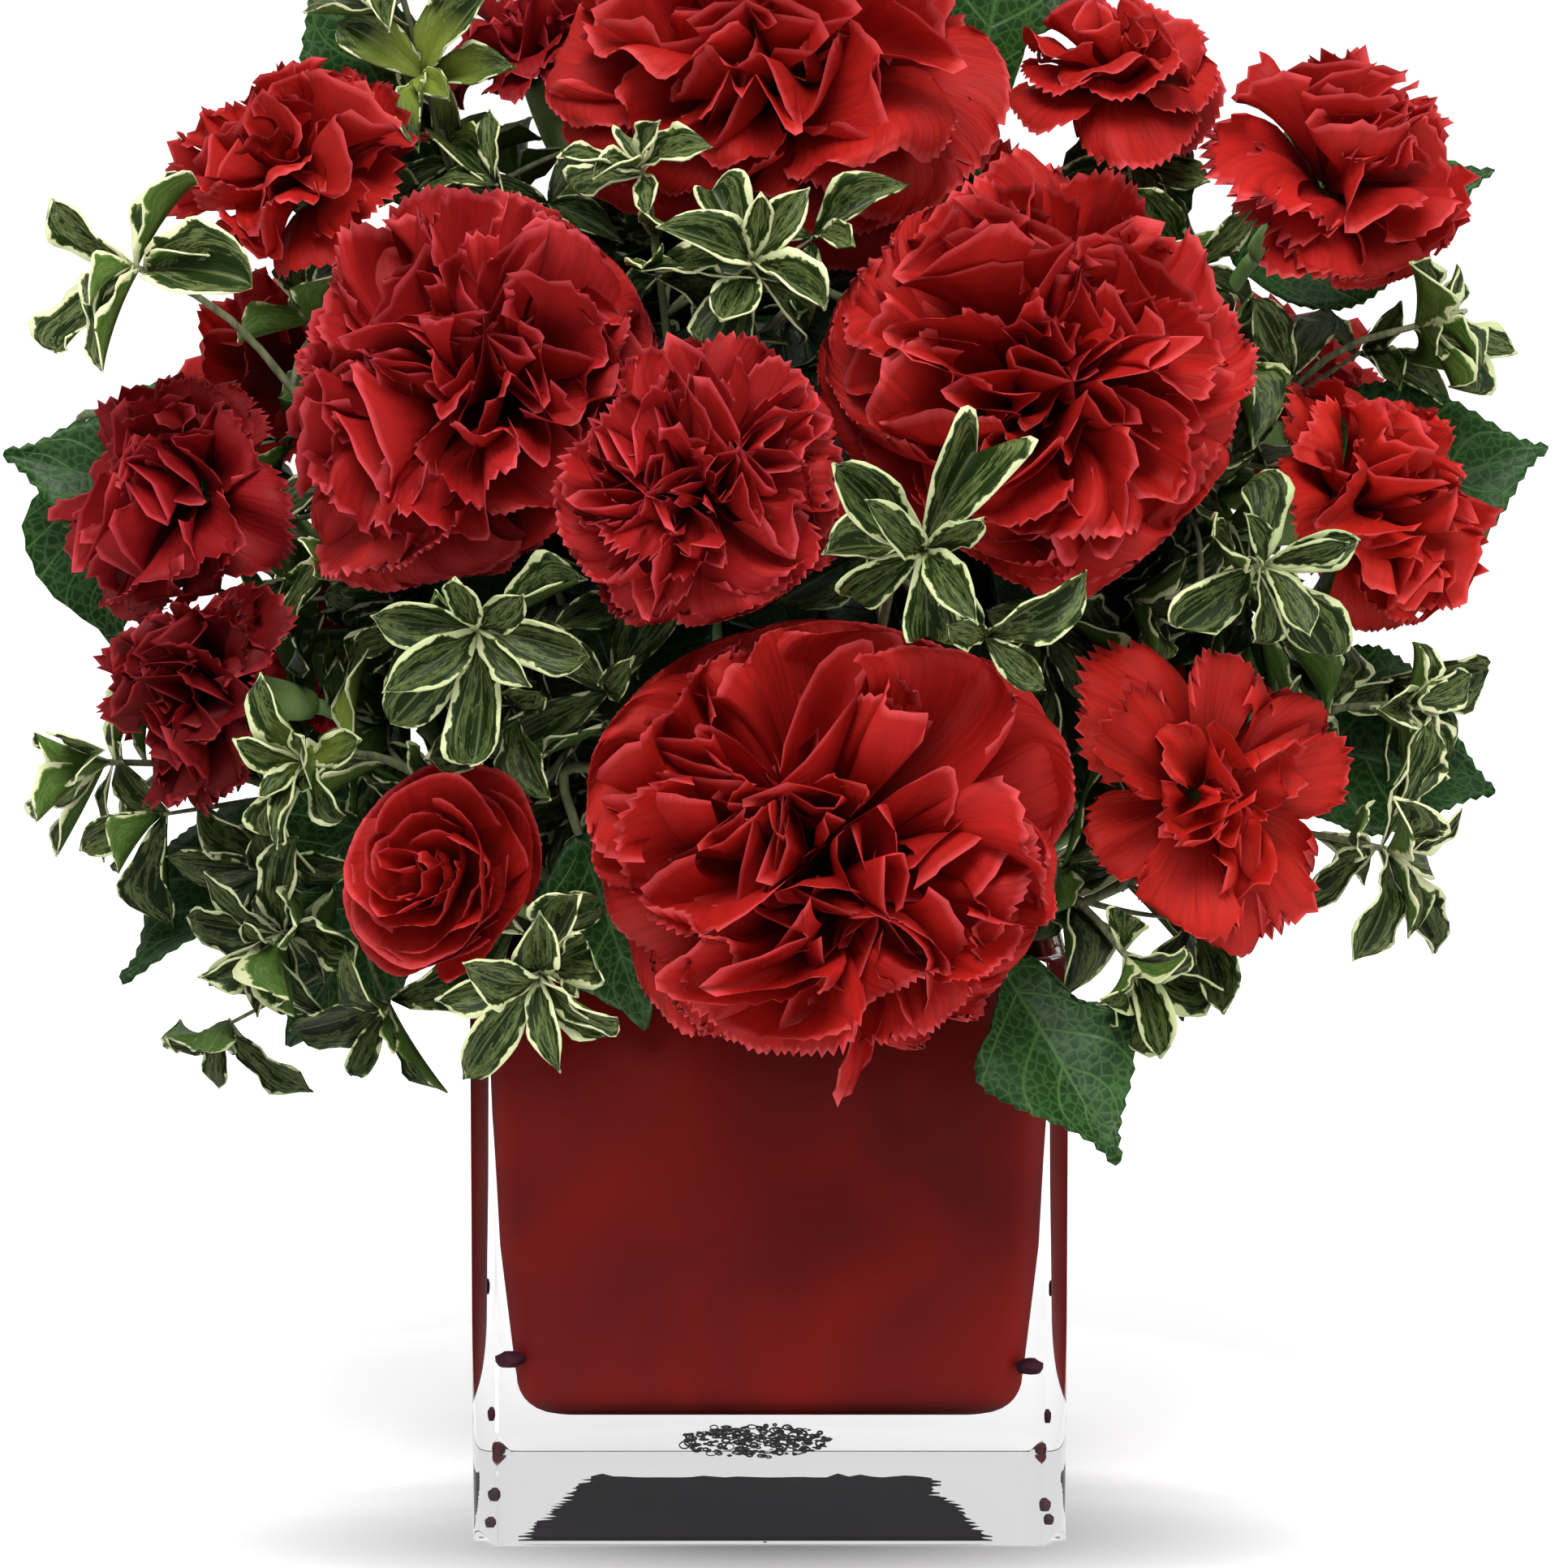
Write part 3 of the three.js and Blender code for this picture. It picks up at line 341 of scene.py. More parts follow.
# The vase is coloured by a red coat, sprayed on the inside of the glass and fired. It shows through
# the wall as a deep, softly mottled red, with shade painted as a darker line along its lower edge.
COAT_BITE = 0.25
COAT_DEPTH = 1.2
COAT_DARK = (0.11, 0.005, 0.005)
COAT_LIGHT = (0.2, 0.007, 0.004)
COAT_SHADE_LEVEL = 0.0234
COAT_SHADE_FADE = 0.0006
COAT_PAINTED_SHADE = (0.1, 0.1, 0.1)


def noise_at(tree, vector, scale, detail=2, distortion=0):
    """An uneven cloud of values from 0 to 1."""
    noise = tree.nodes.new("ShaderNodeTexNoise")
    noise.inputs["Scale"].default_value = scale
    noise.inputs["Detail"].default_value = detail
    noise.inputs["Distortion"].default_value = distortion
    tree.links.new(vector, noise.inputs["Vector"])
    return noise.outputs["Fac"]


def parts_of(tree, vector):
    """The three parts of a vector."""
    split = tree.nodes.new("ShaderNodeSeparateXYZ")
    tree.links.new(vector, split.inputs["Vector"])
    return split.outputs


def finished(tree, shader, colour, roughness, gloss=0.5):
    """Gives a surface its colour, its roughness and the strength of its reflections."""
    tree.links.new(colour, shader.inputs["Base Color"])
    shader.inputs["Roughness"].default_value = roughness
    shader.inputs["Specular IOR Level"].default_value = gloss


coat_red, coat_tree, coat_shader = shader_of("red coat")
coat_place = place_of(coat_tree)
coat_clouds = noise_at(coat_tree, coat_place, 22, 1.5, 1.6)
coat_mottle = ramp(coat_tree, coat_clouds, [(0.3, COAT_DARK), (0.75, COAT_LIGHT)])
# The darker line along the coat's lower edge is painted shade.
coat_shade_stops = [(COAT_SHADE_LEVEL, COAT_PAINTED_SHADE), (COAT_SHADE_LEVEL + COAT_SHADE_FADE, (1, 1, 1))]
coat_painted_shade = ramp(coat_tree, parts_of(coat_tree, coat_place)["Z"], coat_shade_stops)
finished(coat_tree, coat_shader, mixed(coat_tree, 1.0, coat_mottle, coat_painted_shade, "MULTIPLY"), 0.6, 0.1)
coat_rings = cavity_rings(-COAT_BITE) + cavity_rings(COAT_DEPTH)[::-1]
coat = piece("red_coat", *rings_mesh(coat_rings), [coat_red], ["vase_red_coat"])

# The clear foot shows the marks of its making: a round patch of small bubbles under the middle of the
# floor, and dark flecks of coat at the corners. A dark ragged patch lies just above its underside.
MARKS_ASIDE = -2.8
GOLDEN_TURN = TURN * 0.381966
BUBBLES = 260
BUBBLE_PATCH = 14.3
BUBBLE_PATCH_STRETCH = 1.35
BUBBLE_LEVEL = 10.9
BUBBLE_STEPS = 9
BUBBLE_WIRE_TURNS = (0, 2.1, 4.2)
DARK_PATCH_FRONT = -48.5
DARK_PATCH_BACK = 22
DARK_PATCH_HALF_FRONT = 46
DARK_PATCH_HALF_BACK = 37
DARK_PATCH_LEVEL = 0.35
DARK_PATCH_ROWS = 46
DARK_PATCH_BACK_STEPS = 30
# Each fleck is how far out it is, how high, its half width and its half height.
FLECKS = [(50, 34, 2.6, 1.7), (53.2, 26, 0.5, 1.6), (52.8, 8.5, 0.9, 1.5), (53.4, 5, 0.7, 1.2)]
FLECK_RINGS = [(0.6, -0.8), (1, -0.25), (0.95, 0.4), (0.45, 0.9)]
FLECK_SIDES = 8


def draw(seed):
    """A number from 0 to 1 that looks random and is always the same for a seed."""
    s = math.sin(seed * 127.1 + 311.7) * 43758.5453
    return s - math.floor(s)


def bubble_rings():
    """Small dark rings, the outlines of bubbles, strewn over a level round patch inside the glass."""
    points, faces = [], []
    for k in range(BUBBLES):
        share = math.sqrt((k + 0.5) / BUBBLES)
        turn = k * GOLDEN_TURN + draw(k) * 0.9
        reach = share * BUBBLE_PATCH * (1 + 0.03 * draw(k + 0.5))
        x, y = MARKS_ASIDE + reach * math.cos(turn), reach * math.sin(turn) * BUBBLE_PATCH_STRETCH
        z = BUBBLE_LEVEL + draw(k + 0.2)
        size = 0.35 + 0.75 * draw(k + 0.3) ** 2
        wire = 0.12 + 0.14 * draw(k + 0.4)
        tilt = (draw(k + 0.6) - 0.5) * 1.6
        start = len(points)
        for step in range(BUBBLE_STEPS):
            a = TURN * step / BUBBLE_STEPS
            for b in BUBBLE_WIRE_TURNS:
                out = size + wire * math.cos(b)
                up = wire * math.sin(b) + out * math.sin(a) * math.sin(tilt)
                points.append((x + out * math.cos(a), y + out * math.sin(a) * math.cos(tilt), z + up))
        for step in range(BUBBLE_STEPS):
            here, there = start + step * 3, start + (step + 1) % BUBBLE_STEPS * 3
            for side in range(3):
                after = (side + 1) % 3
                faces.append((here + side, there + side, there + after, here + after))
    return points, faces


def dark_patch_sheet():
    """A dark patch on the foot, a little narrower at the back, with torn ends and a ragged back."""
    points, faces = [], []
    for row in range(DARK_PATCH_ROWS + 1):
        share = row / DARK_PATCH_ROWS
        half = DARK_PATCH_HALF_FRONT + (DARK_PATCH_HALF_BACK - DARK_PATCH_HALF_FRONT) * share
        for side in (-1, 1):
            bristle = draw(row * 1.3 + side) ** 2 * 3.5
            stroke = draw(row // 7 + 20.5 * side) * 5 * share
            x = MARKS_ASIDE + side * (half - bristle - stroke)
            points.append((x, DARK_PATCH_FRONT + (DARK_PATCH_BACK - DARK_PATCH_FRONT) * share))
    for row in range(DARK_PATCH_ROWS):
        faces.append((2 * row, 2 * row + 1, 2 * row + 3, 2 * row + 2))
    start, count = len(points), DARK_PATCH_BACK_STEPS
    left, right = points[-2][0], points[-1][0]
    across_back = [left + (right - left) * i / count for i in range(count + 1)]
    points += [(x, DARK_PATCH_BACK + 5 * draw(i * 0.7 + 3) ** 3) for i, x in enumerate(across_back)]
    points += [(x, DARK_PATCH_BACK - 0.5) for x in across_back]
    for i in range(count):
        faces.append((start + i, start + i + 1, start + count + 2 + i, start + count + 1 + i))
    return [(x, y, DARK_PATCH_LEVEL) for x, y in points], faces


def joined(parts):
    """Points and faces of several meshes put together as one."""
    points, faces, start = [], [], 0
    for part_points, part_faces in parts:
        points.append(part_points)
        faces += [tuple(i + start for i in face) for face in part_faces]
        start += len(part_points)
    return np.concatenate(points), faces


def fleck(corner, sides, out, level, wide, tall):
    """One rounded fleck with an uneven outline, at a corner of the foot."""
    rings = []
    for ring, (share, lift) in enumerate(FLECK_RINGS):
        points = []
        for turn in range(FLECK_SIDES):
            a = TURN * turn / FLECK_SIDES
            reach = wide * share * (0.75 + 0.5 * draw(corner * 3 + turn + ring * 0.3))
            x, y = out + reach * math.cos(a), out - 1 + reach * math.sin(a)
            points.append((sides[0] * x, sides[1] * y, level + tall * lift))
        rings.append(points)
    return rings_mesh(rings)


def corner_flecks():
    """The flecks at the four corners of the foot. The back corners have only the highest one."""
    meshes = []
    for corner, sides in enumerate(VASE_CORNERS):
        for k, (out, height, wide, tall) in enumerate(FLECKS if sides[1] < 0 else FLECKS[:1]):
            level = height + (draw(corner * 9 + k) - 0.5) * 3
            meshes.append(fleck(corner, sides, out, level, wide, tall))
    return joined(meshes)


def mark_material(name, dark, light, scale, roughness):
    """A dark and slightly uneven mark."""
    material, tree, shader = shader_of(name)
    grain = noise_at(tree, place_of(tree), scale, 3)
    finished(tree, shader, ramp(tree, grain, [(0.35, dark), (0.7, light)]), roughness, 0.1)
    return material


bubble_grey = mark_material("bubble outlines", (0.004, 0.004, 0.005), (0.12, 0.11, 0.12), 420, 0.4)
dark_patch_material = mark_material("dark patch", (0.002, 0.001, 0.0015), (0.006, 0.003, 0.005), 60, 0.9)
fleck_plum = mark_material("plum flecks", (0.02, 0.005, 0.01), (0.05, 0.01, 0.02), 200, 0.6)
bubbles = piece("foot_bubbles", *bubble_rings(), [bubble_grey])
dark_patch = piece("foot_dark_patch", *dark_patch_sheet(), [dark_patch_material])
flecks = piece("corner_flecks", *corner_flecks(), [fleck_plum])

# The floral foam is a soaked green block, cut to the vase and standing a little above its rim. It is
# crumbly and full of fine pores, and the stems were pushed into it, each in a hole of its own.
FOAM_PORES = 900
FOAM_RELIEF = 0.0008


def raised(tree, shader, height, distance, strength=1):
    """Lets a pattern show as fine relief on a surface."""
    bump = tree.nodes.new("ShaderNodeBump")
    bump.inputs["Distance"].default_value = distance
    bump.inputs["Strength"].default_value = strength
    tree.links.new(height, bump.inputs["Height"])
    tree.links.new(bump.outputs["Normal"], shader.inputs["Normal"])


foam_green, foam_tree, foam_shader = shader_of("floral foam")
pores = foam_tree.nodes.new("ShaderNodeTexVoronoi")
pores.inputs["Scale"].default_value = FOAM_PORES
foam_tree.links.new(place_of(foam_tree), pores.inputs["Vector"])
foam_stops = [(0.0, (0.008, 0.02, 0.008)), (0.5, (0.03, 0.075, 0.03))]
finished(foam_tree, foam_shader, ramp(foam_tree, pores.outputs["Distance"], foam_stops), 0.95)
raised(foam_tree, foam_shader, pores.outputs["Distance"], FOAM_RELIEF)
for foam_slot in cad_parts["flower_foam"].material_slots:
    foam_slot.material = foam_green

# The bunch is laid out in these lists: where each bloom, whorl and broad leaf stands and the way it faces.
# Two blooms of a spray share a stem that forks above the rim, and every stem slants into the foam.
STANDARD = {"stem": 2.4, "calyx": 6.6, "calyx_length": 25}
SPRAY = {"stem": 1.6, "calyx": 4.4, "calyx_length": 18}
# Each bloom is its name, its kind, its middle, the way it faces and its radius.
BLOOMS = [
    ("front_low", STANDARD, (10, -90, 140), (0.05, -0.93, 0.25), 47),
    ("upper_right", STANDARD, (50, -57, 224), (0.25, -0.8, 0.48), 42),
    ("upper_left", STANDARD, (-55, -52, 222), (-0.35, -0.75, 0.5), 40),
    ("top", STANDARD, (1, -12, 283), (0.02, -0.5, 0.85), 45),
    ("back_low", STANDARD, (-8, 86, 150), (-0.05, 0.93, 0.28), 41),
    ("back_high", STANDARD, (36, 62, 230), (0.25, 0.72, 0.6), 40),
    ("middle", SPRAY, (-12, -87, 206), (0, -0.93, 0.3), 27),
    ("rosette", SPRAY, (-60, -76, 133), (-0.35, -0.87, 0.3), 19.5),
    ("left_low", SPRAY, (-109, -40, 164), (-0.8, -0.5, 0.2), 21),
    ("left", SPRAY, (-114, -22, 202), (-0.72, -0.58, 0.33), 27),
    ("left_high", SPRAY, (-93, -8, 261), (-0.5, -0.5, 0.68), 24),
    ("top_left", SPRAY, (-47, 20, 284), (-0.3, -0.1, 0.93), 20),
    ("top_right", SPRAY, (69, 8, 281), (0.08, -0.25, 0.95), 21),
    ("right_high", SPRAY, (112, -10, 261), (0.6, -0.45, 0.62), 26),
    ("right", SPRAY, (116, -28, 198), (0.78, -0.5, 0.25), 26),
    ("right_low", SPRAY, (84, -70, 147), (0.42, -0.88, 0.1), 28),
    ("back_left_high", SPRAY, (-46, 66, 218), (-0.3, 0.8, 0.45), 27),
    ("back_top", SPRAY, (-10, 56, 272), (-0.1, 0.5, 0.86), 23),
    ("back_right_low", SPRAY, (76, 70, 160), (0.6, 0.76, 0.2), 26),
    ("back_right", SPRAY, (108, 42, 208), (0.8, 0.5, 0.35), 24),
    ("back_left_low", SPRAY, (-86, 58, 166), (-0.72, 0.65, 0.2), 25),
    ("back_left", SPRAY, (-98, 36, 222), (-0.72, 0.45, 0.5), 23),
]
# Each carnation stem is the blooms that it carries and how far its foot is turned aside, in degrees.
STEMS = [
    (["front_low"], 0),
    (["upper_right"], 0),
    (["upper_left"], 0),
    (["top"], 0),
    (["back_low"], 0),
    (["back_high"], 0),
    (["middle"], 0),
    (["rosette"], 9),
    (["left_low", "left"], -3),
    (["left_high", "top_left"], 6),
    (["top_right", "right_high"], 0),
    (["right", "right_low"], -5),
    (["back_left_high", "back_top"], 0),
    (["back_right_low", "back_right"], 0),
    (["back_left_low", "back_left"], 0),
]
# Each twig is its name, the turn of its foot and its whorls. A whorl is its middle, the way it faces
# and its radius.
TWIGS = [
    ("centre_right", 6, [((28, -105, 197), (0.15, -0.95, 0.1), 25)]),
    ("centre_left", -6, [((-53, -91, 181), (-0.2, -0.95, 0), 23), ((-87, -65, 153), (-0.5, -0.8, 0), 19)]),
    ("rim_left", 0, [((-42, -96, 118), (-0.1, -0.95, -0.25), 21)]),
    ("upper_middle", 0, [((-3, -62, 246), (0.1, -0.8, 0.5), 22)]),
    ("far_left", 6, [((-121, -34, 244), (-0.75, -0.45, 0.4), 24)]),
    ("crown_left", 14, [((-72, 2, 296), (-0.25, -0.2, 0.94), 23)]),
    ("low_left", -2, [
        ((-93, -52, 118), (-0.5, -0.75, -0.35), 29),
        ((-130, -14, 146), (-0.9, -0.2, 0.05), 20),
    ]),
    ("right_middle", 0, [((92, -66, 190), (0.5, -0.8, 0.2), 21)]),
    ("right_upper", 8, [((126, -20, 232), (0.85, -0.3, 0.25), 21)]),
    ("right_low", 3, [
        ((118, -42, 133), (0.75, -0.5, -0.1), 20),
        ((122, -34, 160), (0.85, -0.45, 0.1), 18),
    ]),
    ("rim_right", 0, [((67, -72, 117), (0.45, -0.7, -0.5), 19)]),
    ("top_front", 0, [((-24, -47, 263), (-0.15, -0.6, 0.75), 15)]),
    ("back_middle", 0, [((-46, 92, 182), (-0.3, 0.93, 0.1), 22), ((-14, 90, 104), (-0.1, 0.9, -0.3), 22)]),
    ("back_right", 0, [((50, 96, 186), (0.3, 0.93, 0.1), 22), ((44, 90, 116), (0.3, 0.9, -0.2), 21)]),
]
# Each branch is its name, the turn of its foot and its leaves. A leaf is its base, its tip, the way it
# faces and its width.
BRANCHES = [
    ("left", -8, [
        ((-96, 6, 190), (-149, -4, 207), (-0.2, -0.9, 0.4), 44),
        ((-80, 4, 132), (-127, -30, 112), (-0.3, -0.5, 0.8), 40),
    ]),
    ("right", 8, [
        ((103, 8, 190), (151, -4, 208), (0.2, -0.9, 0.4), 46),
        ((95, -6, 150), (142, -15, 143), (0.2, -0.85, 0.5), 44),
    ]),
    ("upper_right", 4, [
        ((91, 31, 239), (142, 20, 262), (0.1, -0.9, 0.5), 40),
        ((38, 22, 262), (50, 16, 318), (0.1, -0.95, 0.3), 44),
    ]),
    ("front", 0, [((38, -62, 122), (66, -88, 84), (0.3, -0.85, 0.4), 42)]),
    ("crown", -10, [((-62, 24, 250), (-90, 12, 300), (-0.1, -0.95, 0.3), 40)]),
    ("back", 0, [
        ((-42, 62, 127), (-84, 100, 108), (0, 0.6, 0.8), 42),
        ((66, 58, 128), (106, 88, 110), (0, 0.6, 0.8), 42),
    ]),
]
TWIG_RADIUS = 1.15
STALK_RADIUS = 1.3
# How far straight on each stem runs behind its calyx, whorl or leaf. A whorl's is in its own radii.
CALYX_NECK = 5
WHORL_NECK = 1.4
LEAF_NECK = 12
# How far behind its middle the petals of a bloom leave their calyx, as a share of its radius.
MOUTH_BACK = 0.35
# Where the stems end in the foam, and how they keep clear of the rim and fork above it.
SEAT_CENTRE = np.array([0, 0, 100])
SEAT_REACH = 33
SEAT_LEVEL = 112
SEAT_DEPTH = 24
SEAT_CURVE = 0.75
RIM_ROOM = 2
FORK_SHARE = 0.42
FORK_ROOM = 8


def unit(way):
    """A direction as a vector of length one."""
    way = np.asarray(way, float)
    return way / np.linalg.norm(way)


def seat_of(mean, nudge):
    """Where a stem ends in the foam: low ones come in at the side, high ones go deep."""
    way = unit(mean - SEAT_CENTRE)
    turn = math.atan2(way[1], way[0]) + math.radians(nudge)
    reach = SEAT_REACH * math.hypot(way[0], way[1]) ** SEAT_CURVE
    level = SEAT_LEVEL - SEAT_DEPTH * max(way[2], 0)
    return np.array([reach * math.cos(turn), reach * math.sin(turn), level])


def over_rim(neck, seat, radius):
    """The path from a neck to the foam, lifted over the rim where it would cross it."""
    edge = VASE_SIDE / 2 + RIM_ROOM
    outside = max(abs(neck[0]), abs(neck[1]))
    if outside <= edge:
        return [neck, seat]
    inside = max(abs(seat[0]), abs(seat[1]))
    crossing = neck + (seat - neck) * (outside - edge) / (outside - inside)
    lowest = VASE_HEIGHT + radius + RIM_ROOM
    if crossing[2] >= lowest:
        return [neck, seat]
    crossing[2] = lowest
    return [neck, crossing, seat]


def stem_paths(tips, radius, nudge):
    """The path of each stem of a plant. A tip is its place, its direction and its straight neck."""
    mean = sum(at for at, _, _ in tips) / len(tips)
    seat = seat_of(mean, nudge)
    fork = seat + (mean - seat) * FORK_SHARE
    fork[2] = max(fork[2], VASE_HEIGHT + FORK_ROOM)
    paths = []
    for k, (at, axis, neck_length) in enumerate(tips):
        neck = at - axis * neck_length
        if len(tips) == 1:
            paths.append([at, *over_rim(neck, seat, radius)])
        else:
            paths.append([at, neck, fork, seat] if k == 0 else [at, neck, fork])
    return paths


blooms = {}
for order, (name, kind, at, face, radius) in enumerate(BLOOMS):
    axis = unit(face)
    centre = np.array(at, float)
    mouth = centre - axis * MOUTH_BACK * radius
    foot_of_calyx = mouth - axis * kind["calyx_length"]
    blooms[name] = {
        "name": name,
        "kind": kind,
        "centre": centre,
        "axis": axis,
        "radius": radius,
        "mouth": mouth,
        "foot": foot_of_calyx,
        "seed": (order + 1) * 40,
    }

plants = []
for names, nudge in STEMS:
    carried = [blooms[name] for name in names]
    radius = carried[0]["kind"]["stem"]
    paths = stem_paths([(bloom["foot"], bloom["axis"], CALYX_NECK) for bloom in carried], radius, nudge)
    node = "carnation_stem_" + "_and_".join(names)
    plants.append({"node": node, "carried": carried, "paths": paths, "radius": radius})
for name, nudge, whorls in TWIGS:
    tips = [
        {"centre": np.array(at, float), "axis": unit(face), "radius": radius}
        for at, face, radius in whorls
    ]
    necks = [(tip["centre"], tip["axis"], WHORL_NECK * tip["radius"]) for tip in tips]
    paths = stem_paths(necks, TWIG_RADIUS, nudge)
    plants.append({"node": "pittosporum_" + name, "whorls": tips, "paths": paths, "radius": TWIG_RADIUS})
for name, nudge, leaves in BRANCHES:
    blades = []
    for base, tip, face, width in leaves:
        base, tip = np.array(base, float), np.array(tip, float)
        blades.append({
            "base": base,
            "tip": tip,
            "centre": (base + tip) / 2,
            "axis": unit(tip - base),
            "face": unit(face),
            "width": width,
        })
    paths = stem_paths([(blade["base"], blade["axis"], LEAF_NECK) for blade in blades], STALK_RADIUS, nudge)
    plants.append({"node": "lemon_leaf_" + name, "leaves": blades, "paths": paths, "radius": STALK_RADIUS})

# Blooms and leaves crowd each other in the vase, and bend where they meet. Each keeps to its own
# share of the space, between flat walls halfway to its neighbours, stems, vase and foam.
WALL_GAP = 0.4
LEAST_ROOM = 2
PRESS_POWER = 7
BODY_REACH = 1.3
WHORL_WEIGHT = 0.62
LEAF_WEIGHT = 9
LEAF_REACH = 34
CALYX_ROOM = 1.1
FOAM_SIDE = 92
FOAM_TOP = 138

# Each body is a bloom, whorl or leaf, how strongly it holds its place, how far it reaches and its plant.
bodies = [(bloom, bloom["radius"], bloom["radius"] * BODY_REACH, None) for bloom in blooms.values()]
for plant in plants:
    for whorl in plant.get("whorls", []):
        bodies.append((whorl, whorl["radius"] * WHORL_WEIGHT, whorl["radius"] * BODY_REACH, plant))
    for leaf in plant.get("leaves", []):
        bodies.append((leaf, LEAF_WEIGHT, LEAF_REACH, plant))

# Each stretch is the two ends of a straight piece of stem or of a calyx, its radius and its plant.
stretches = []
for plant in plants:
    for path in plant["paths"]:
        stretches += [(a, b, plant["radius"], plant) for a, b in zip(path, path[1:])]
    for bloom in plant.get("carried", []):
        stretches.append((bloom["mouth"], bloom["foot"], bloom["kind"]["calyx"] * CALYX_ROOM, plant))


def cell_of(owner, own_plant):
    """The centre of a bloom, whorl or leaf and the walls of its cell, as arrows across them."""
    centre = owner["centre"]
    weight, reach = next((w, r) for o, w, r, _ in bodies if o is owner)
    walls = []

    def wall_off(near, radius):
        """Adds a wall through a near point, or through the skin of a stem round that point."""
        towards = near - centre
        distance = np.linalg.norm(towards)
        if distance - radius <= reach:
            walls.append(towards / (distance * max(distance - radius - WALL_GAP, LEAST_ROOM)))

    for half, top in ((VASE_SIDE / 2, VASE_HEIGHT), (FOAM_SIDE / 2, FOAM_TOP)):
        wall_off(np.array([*np.clip(centre[:2], -half, half), min(centre[2], top)]), 0)
    for other, other_weight, other_reach, other_plant in bodies:
        if other is owner or (own_plant and other_plant is own_plant):
            continue
        distance = np.linalg.norm(other["centre"] - centre)
        if distance <= reach + other_reach:
            share = (distance**2 + weight**2 - other_weight**2) / (2 * distance)
            wall_off(centre + (other["centre"] - centre) * share / distance, 0)
    for start, end, radius, plant in stretches:
        if plant is own_plant or any(bloom is owner for bloom in plant.get("carried", [])):
            continue
        line = end - start
        share = np.clip((centre - start) @ line / (line @ line), 0, 1)
        wall_off(start + line * share, radius)
    return centre, np.array(walls)


def pressed(points, cell):
    """Presses points softly into a cell, as a petal bends where it meets its neighbour."""
    centre, walls = cell
    arms = points - centre
    crowding = (np.maximum(0, arms @ walls.T) ** PRESS_POWER).sum(-1)
    return centre + arms * ((1 + crowding) ** (-1 / PRESS_POWER))[..., None]


# The carnation stems are smooth, waxy and grey-green, and swell at their joints. Each is pushed into
# the foam at an angle. A spray forks above the rim and carries two smaller blooms.
STEM_SIDES = 10
STEM_STEP = 2.5
STEM_LEAST_STEPS = 12
JOINT_FIRST = 18
JOINT_SPACING = 30
JOINT_LENGTH = 3
JOINT_SWELL = 0.45
CALYX_SIDES = 20
CALYX_LOBES = 5
# Each ring of a calyx is how far it is from the mouth, in lengths of the calyx, and how wide it is.
CALYX_RINGS = [(-1, 0.4), (-0.97, 0.62), (-0.86, 0.76), (-0.6, 0.9), (-0.3, 0.98), (-0.04, 1.0)]
CALYX_HOLLOW = 0.5
LOBES_START = 0.02
LOBES_LENGTH = 0.1
LOBES_FLARE = 0.12


def smoothed(path, rounds=3):
    """The path with its corners cut away again and again, so that it bends softly."""
    path = np.array(path)
    for _ in range(rounds):
        a, b = path[:-1], path[1:]
        cut = np.stack([a * 0.75 + b * 0.25, a * 0.25 + b * 0.75], 1).reshape(-1, 3)
        path = np.concatenate([path[:1], cut[1:-1], path[-1:]])
    return path


def lengths_along(line):
    """How far along a line each of its points is."""
    return np.concatenate([[0], np.cumsum(np.linalg.norm(np.diff(line, axis=0), axis=1))])


def points_along(line, lengths):
    """The points at one or several lengths along a line."""
    gone = lengths_along(line)
    return np.stack([np.interp(lengths, gone, line[:, i]) for i in range(3)], -1)


def across(way):
    """Two directions at right angles to a direction and to each other."""
    up = (0, 1, 0) if abs(way[2]) > 0.95 else (0, 0, 1)
    u = unit(np.cross(up, way))
    return u, np.cross(way, u)


def tube_rings(path, radii, sides):
    """Rings round a path, carried along it without a twist."""
    u = None
    rings = []
    for k, point in enumerate(path):
        ahead = unit(path[min(k + 1, len(path) - 1)] - path[max(k - 1, 0)])
        u = across(ahead)[0] if u is None else unit(u - ahead * (u @ ahead))
        w = np.cross(ahead, u)
        turns = TURN * np.arange(sides) / sides
        rings.append(point + radii[k] * (np.cos(turns)[:, None] * u + np.sin(turns)[:, None] * w))
    return rings


def stem_mesh(bloom, path):
    """The stem of a bloom with its joints, from the foam up to the calyx."""
    line = smoothed([bloom["foot"], *path[1:]])[::-1]
    whole = lengths_along(line)[-1]
    steps = np.linspace(0, whole, max(STEM_LEAST_STEPS, int(whole / STEM_STEP)))
    from_joint = (whole - steps - JOINT_FIRST) % JOINT_SPACING
    from_joint = np.minimum(from_joint, JOINT_SPACING - from_joint)
    radii = bloom["kind"]["stem"] * (1 + JOINT_SWELL * np.exp(-((from_joint / JOINT_LENGTH) ** 2)))
    return rings_mesh(tube_rings(points_along(line, steps), radii, STEM_SIDES))


def calyx_mesh(bloom):
    """The calyx of a bloom: a green cup, hollow from its mouth, with five pointed lobes."""
    mouth, axis, length = bloom["mouth"], bloom["axis"], bloom["kind"]["calyx_length"]
    u, w = across(axis)
    turns = TURN * np.arange(CALYX_SIDES)[:, None] / CALYX_SIDES
    around = (np.cos(turns) * u + np.sin(turns) * w) * bloom["kind"]["calyx"]
    rings = [mouth + axis * height * length + around * share for height, share in CALYX_RINGS]
    lobes = np.abs((turns * CALYX_LOBES / TURN) % 1 - 0.5) * 2
    lobe_height = (LOBES_START + LOBES_LENGTH * lobes**1.5) * length
    rings.append(mouth + axis * lobe_height + around * (1 + LOBES_FLARE * lobes))
    rings.append(mouth - axis * CALYX_HOLLOW * length + around * CALYX_HOLLOW)
    return rings_mesh(rings)


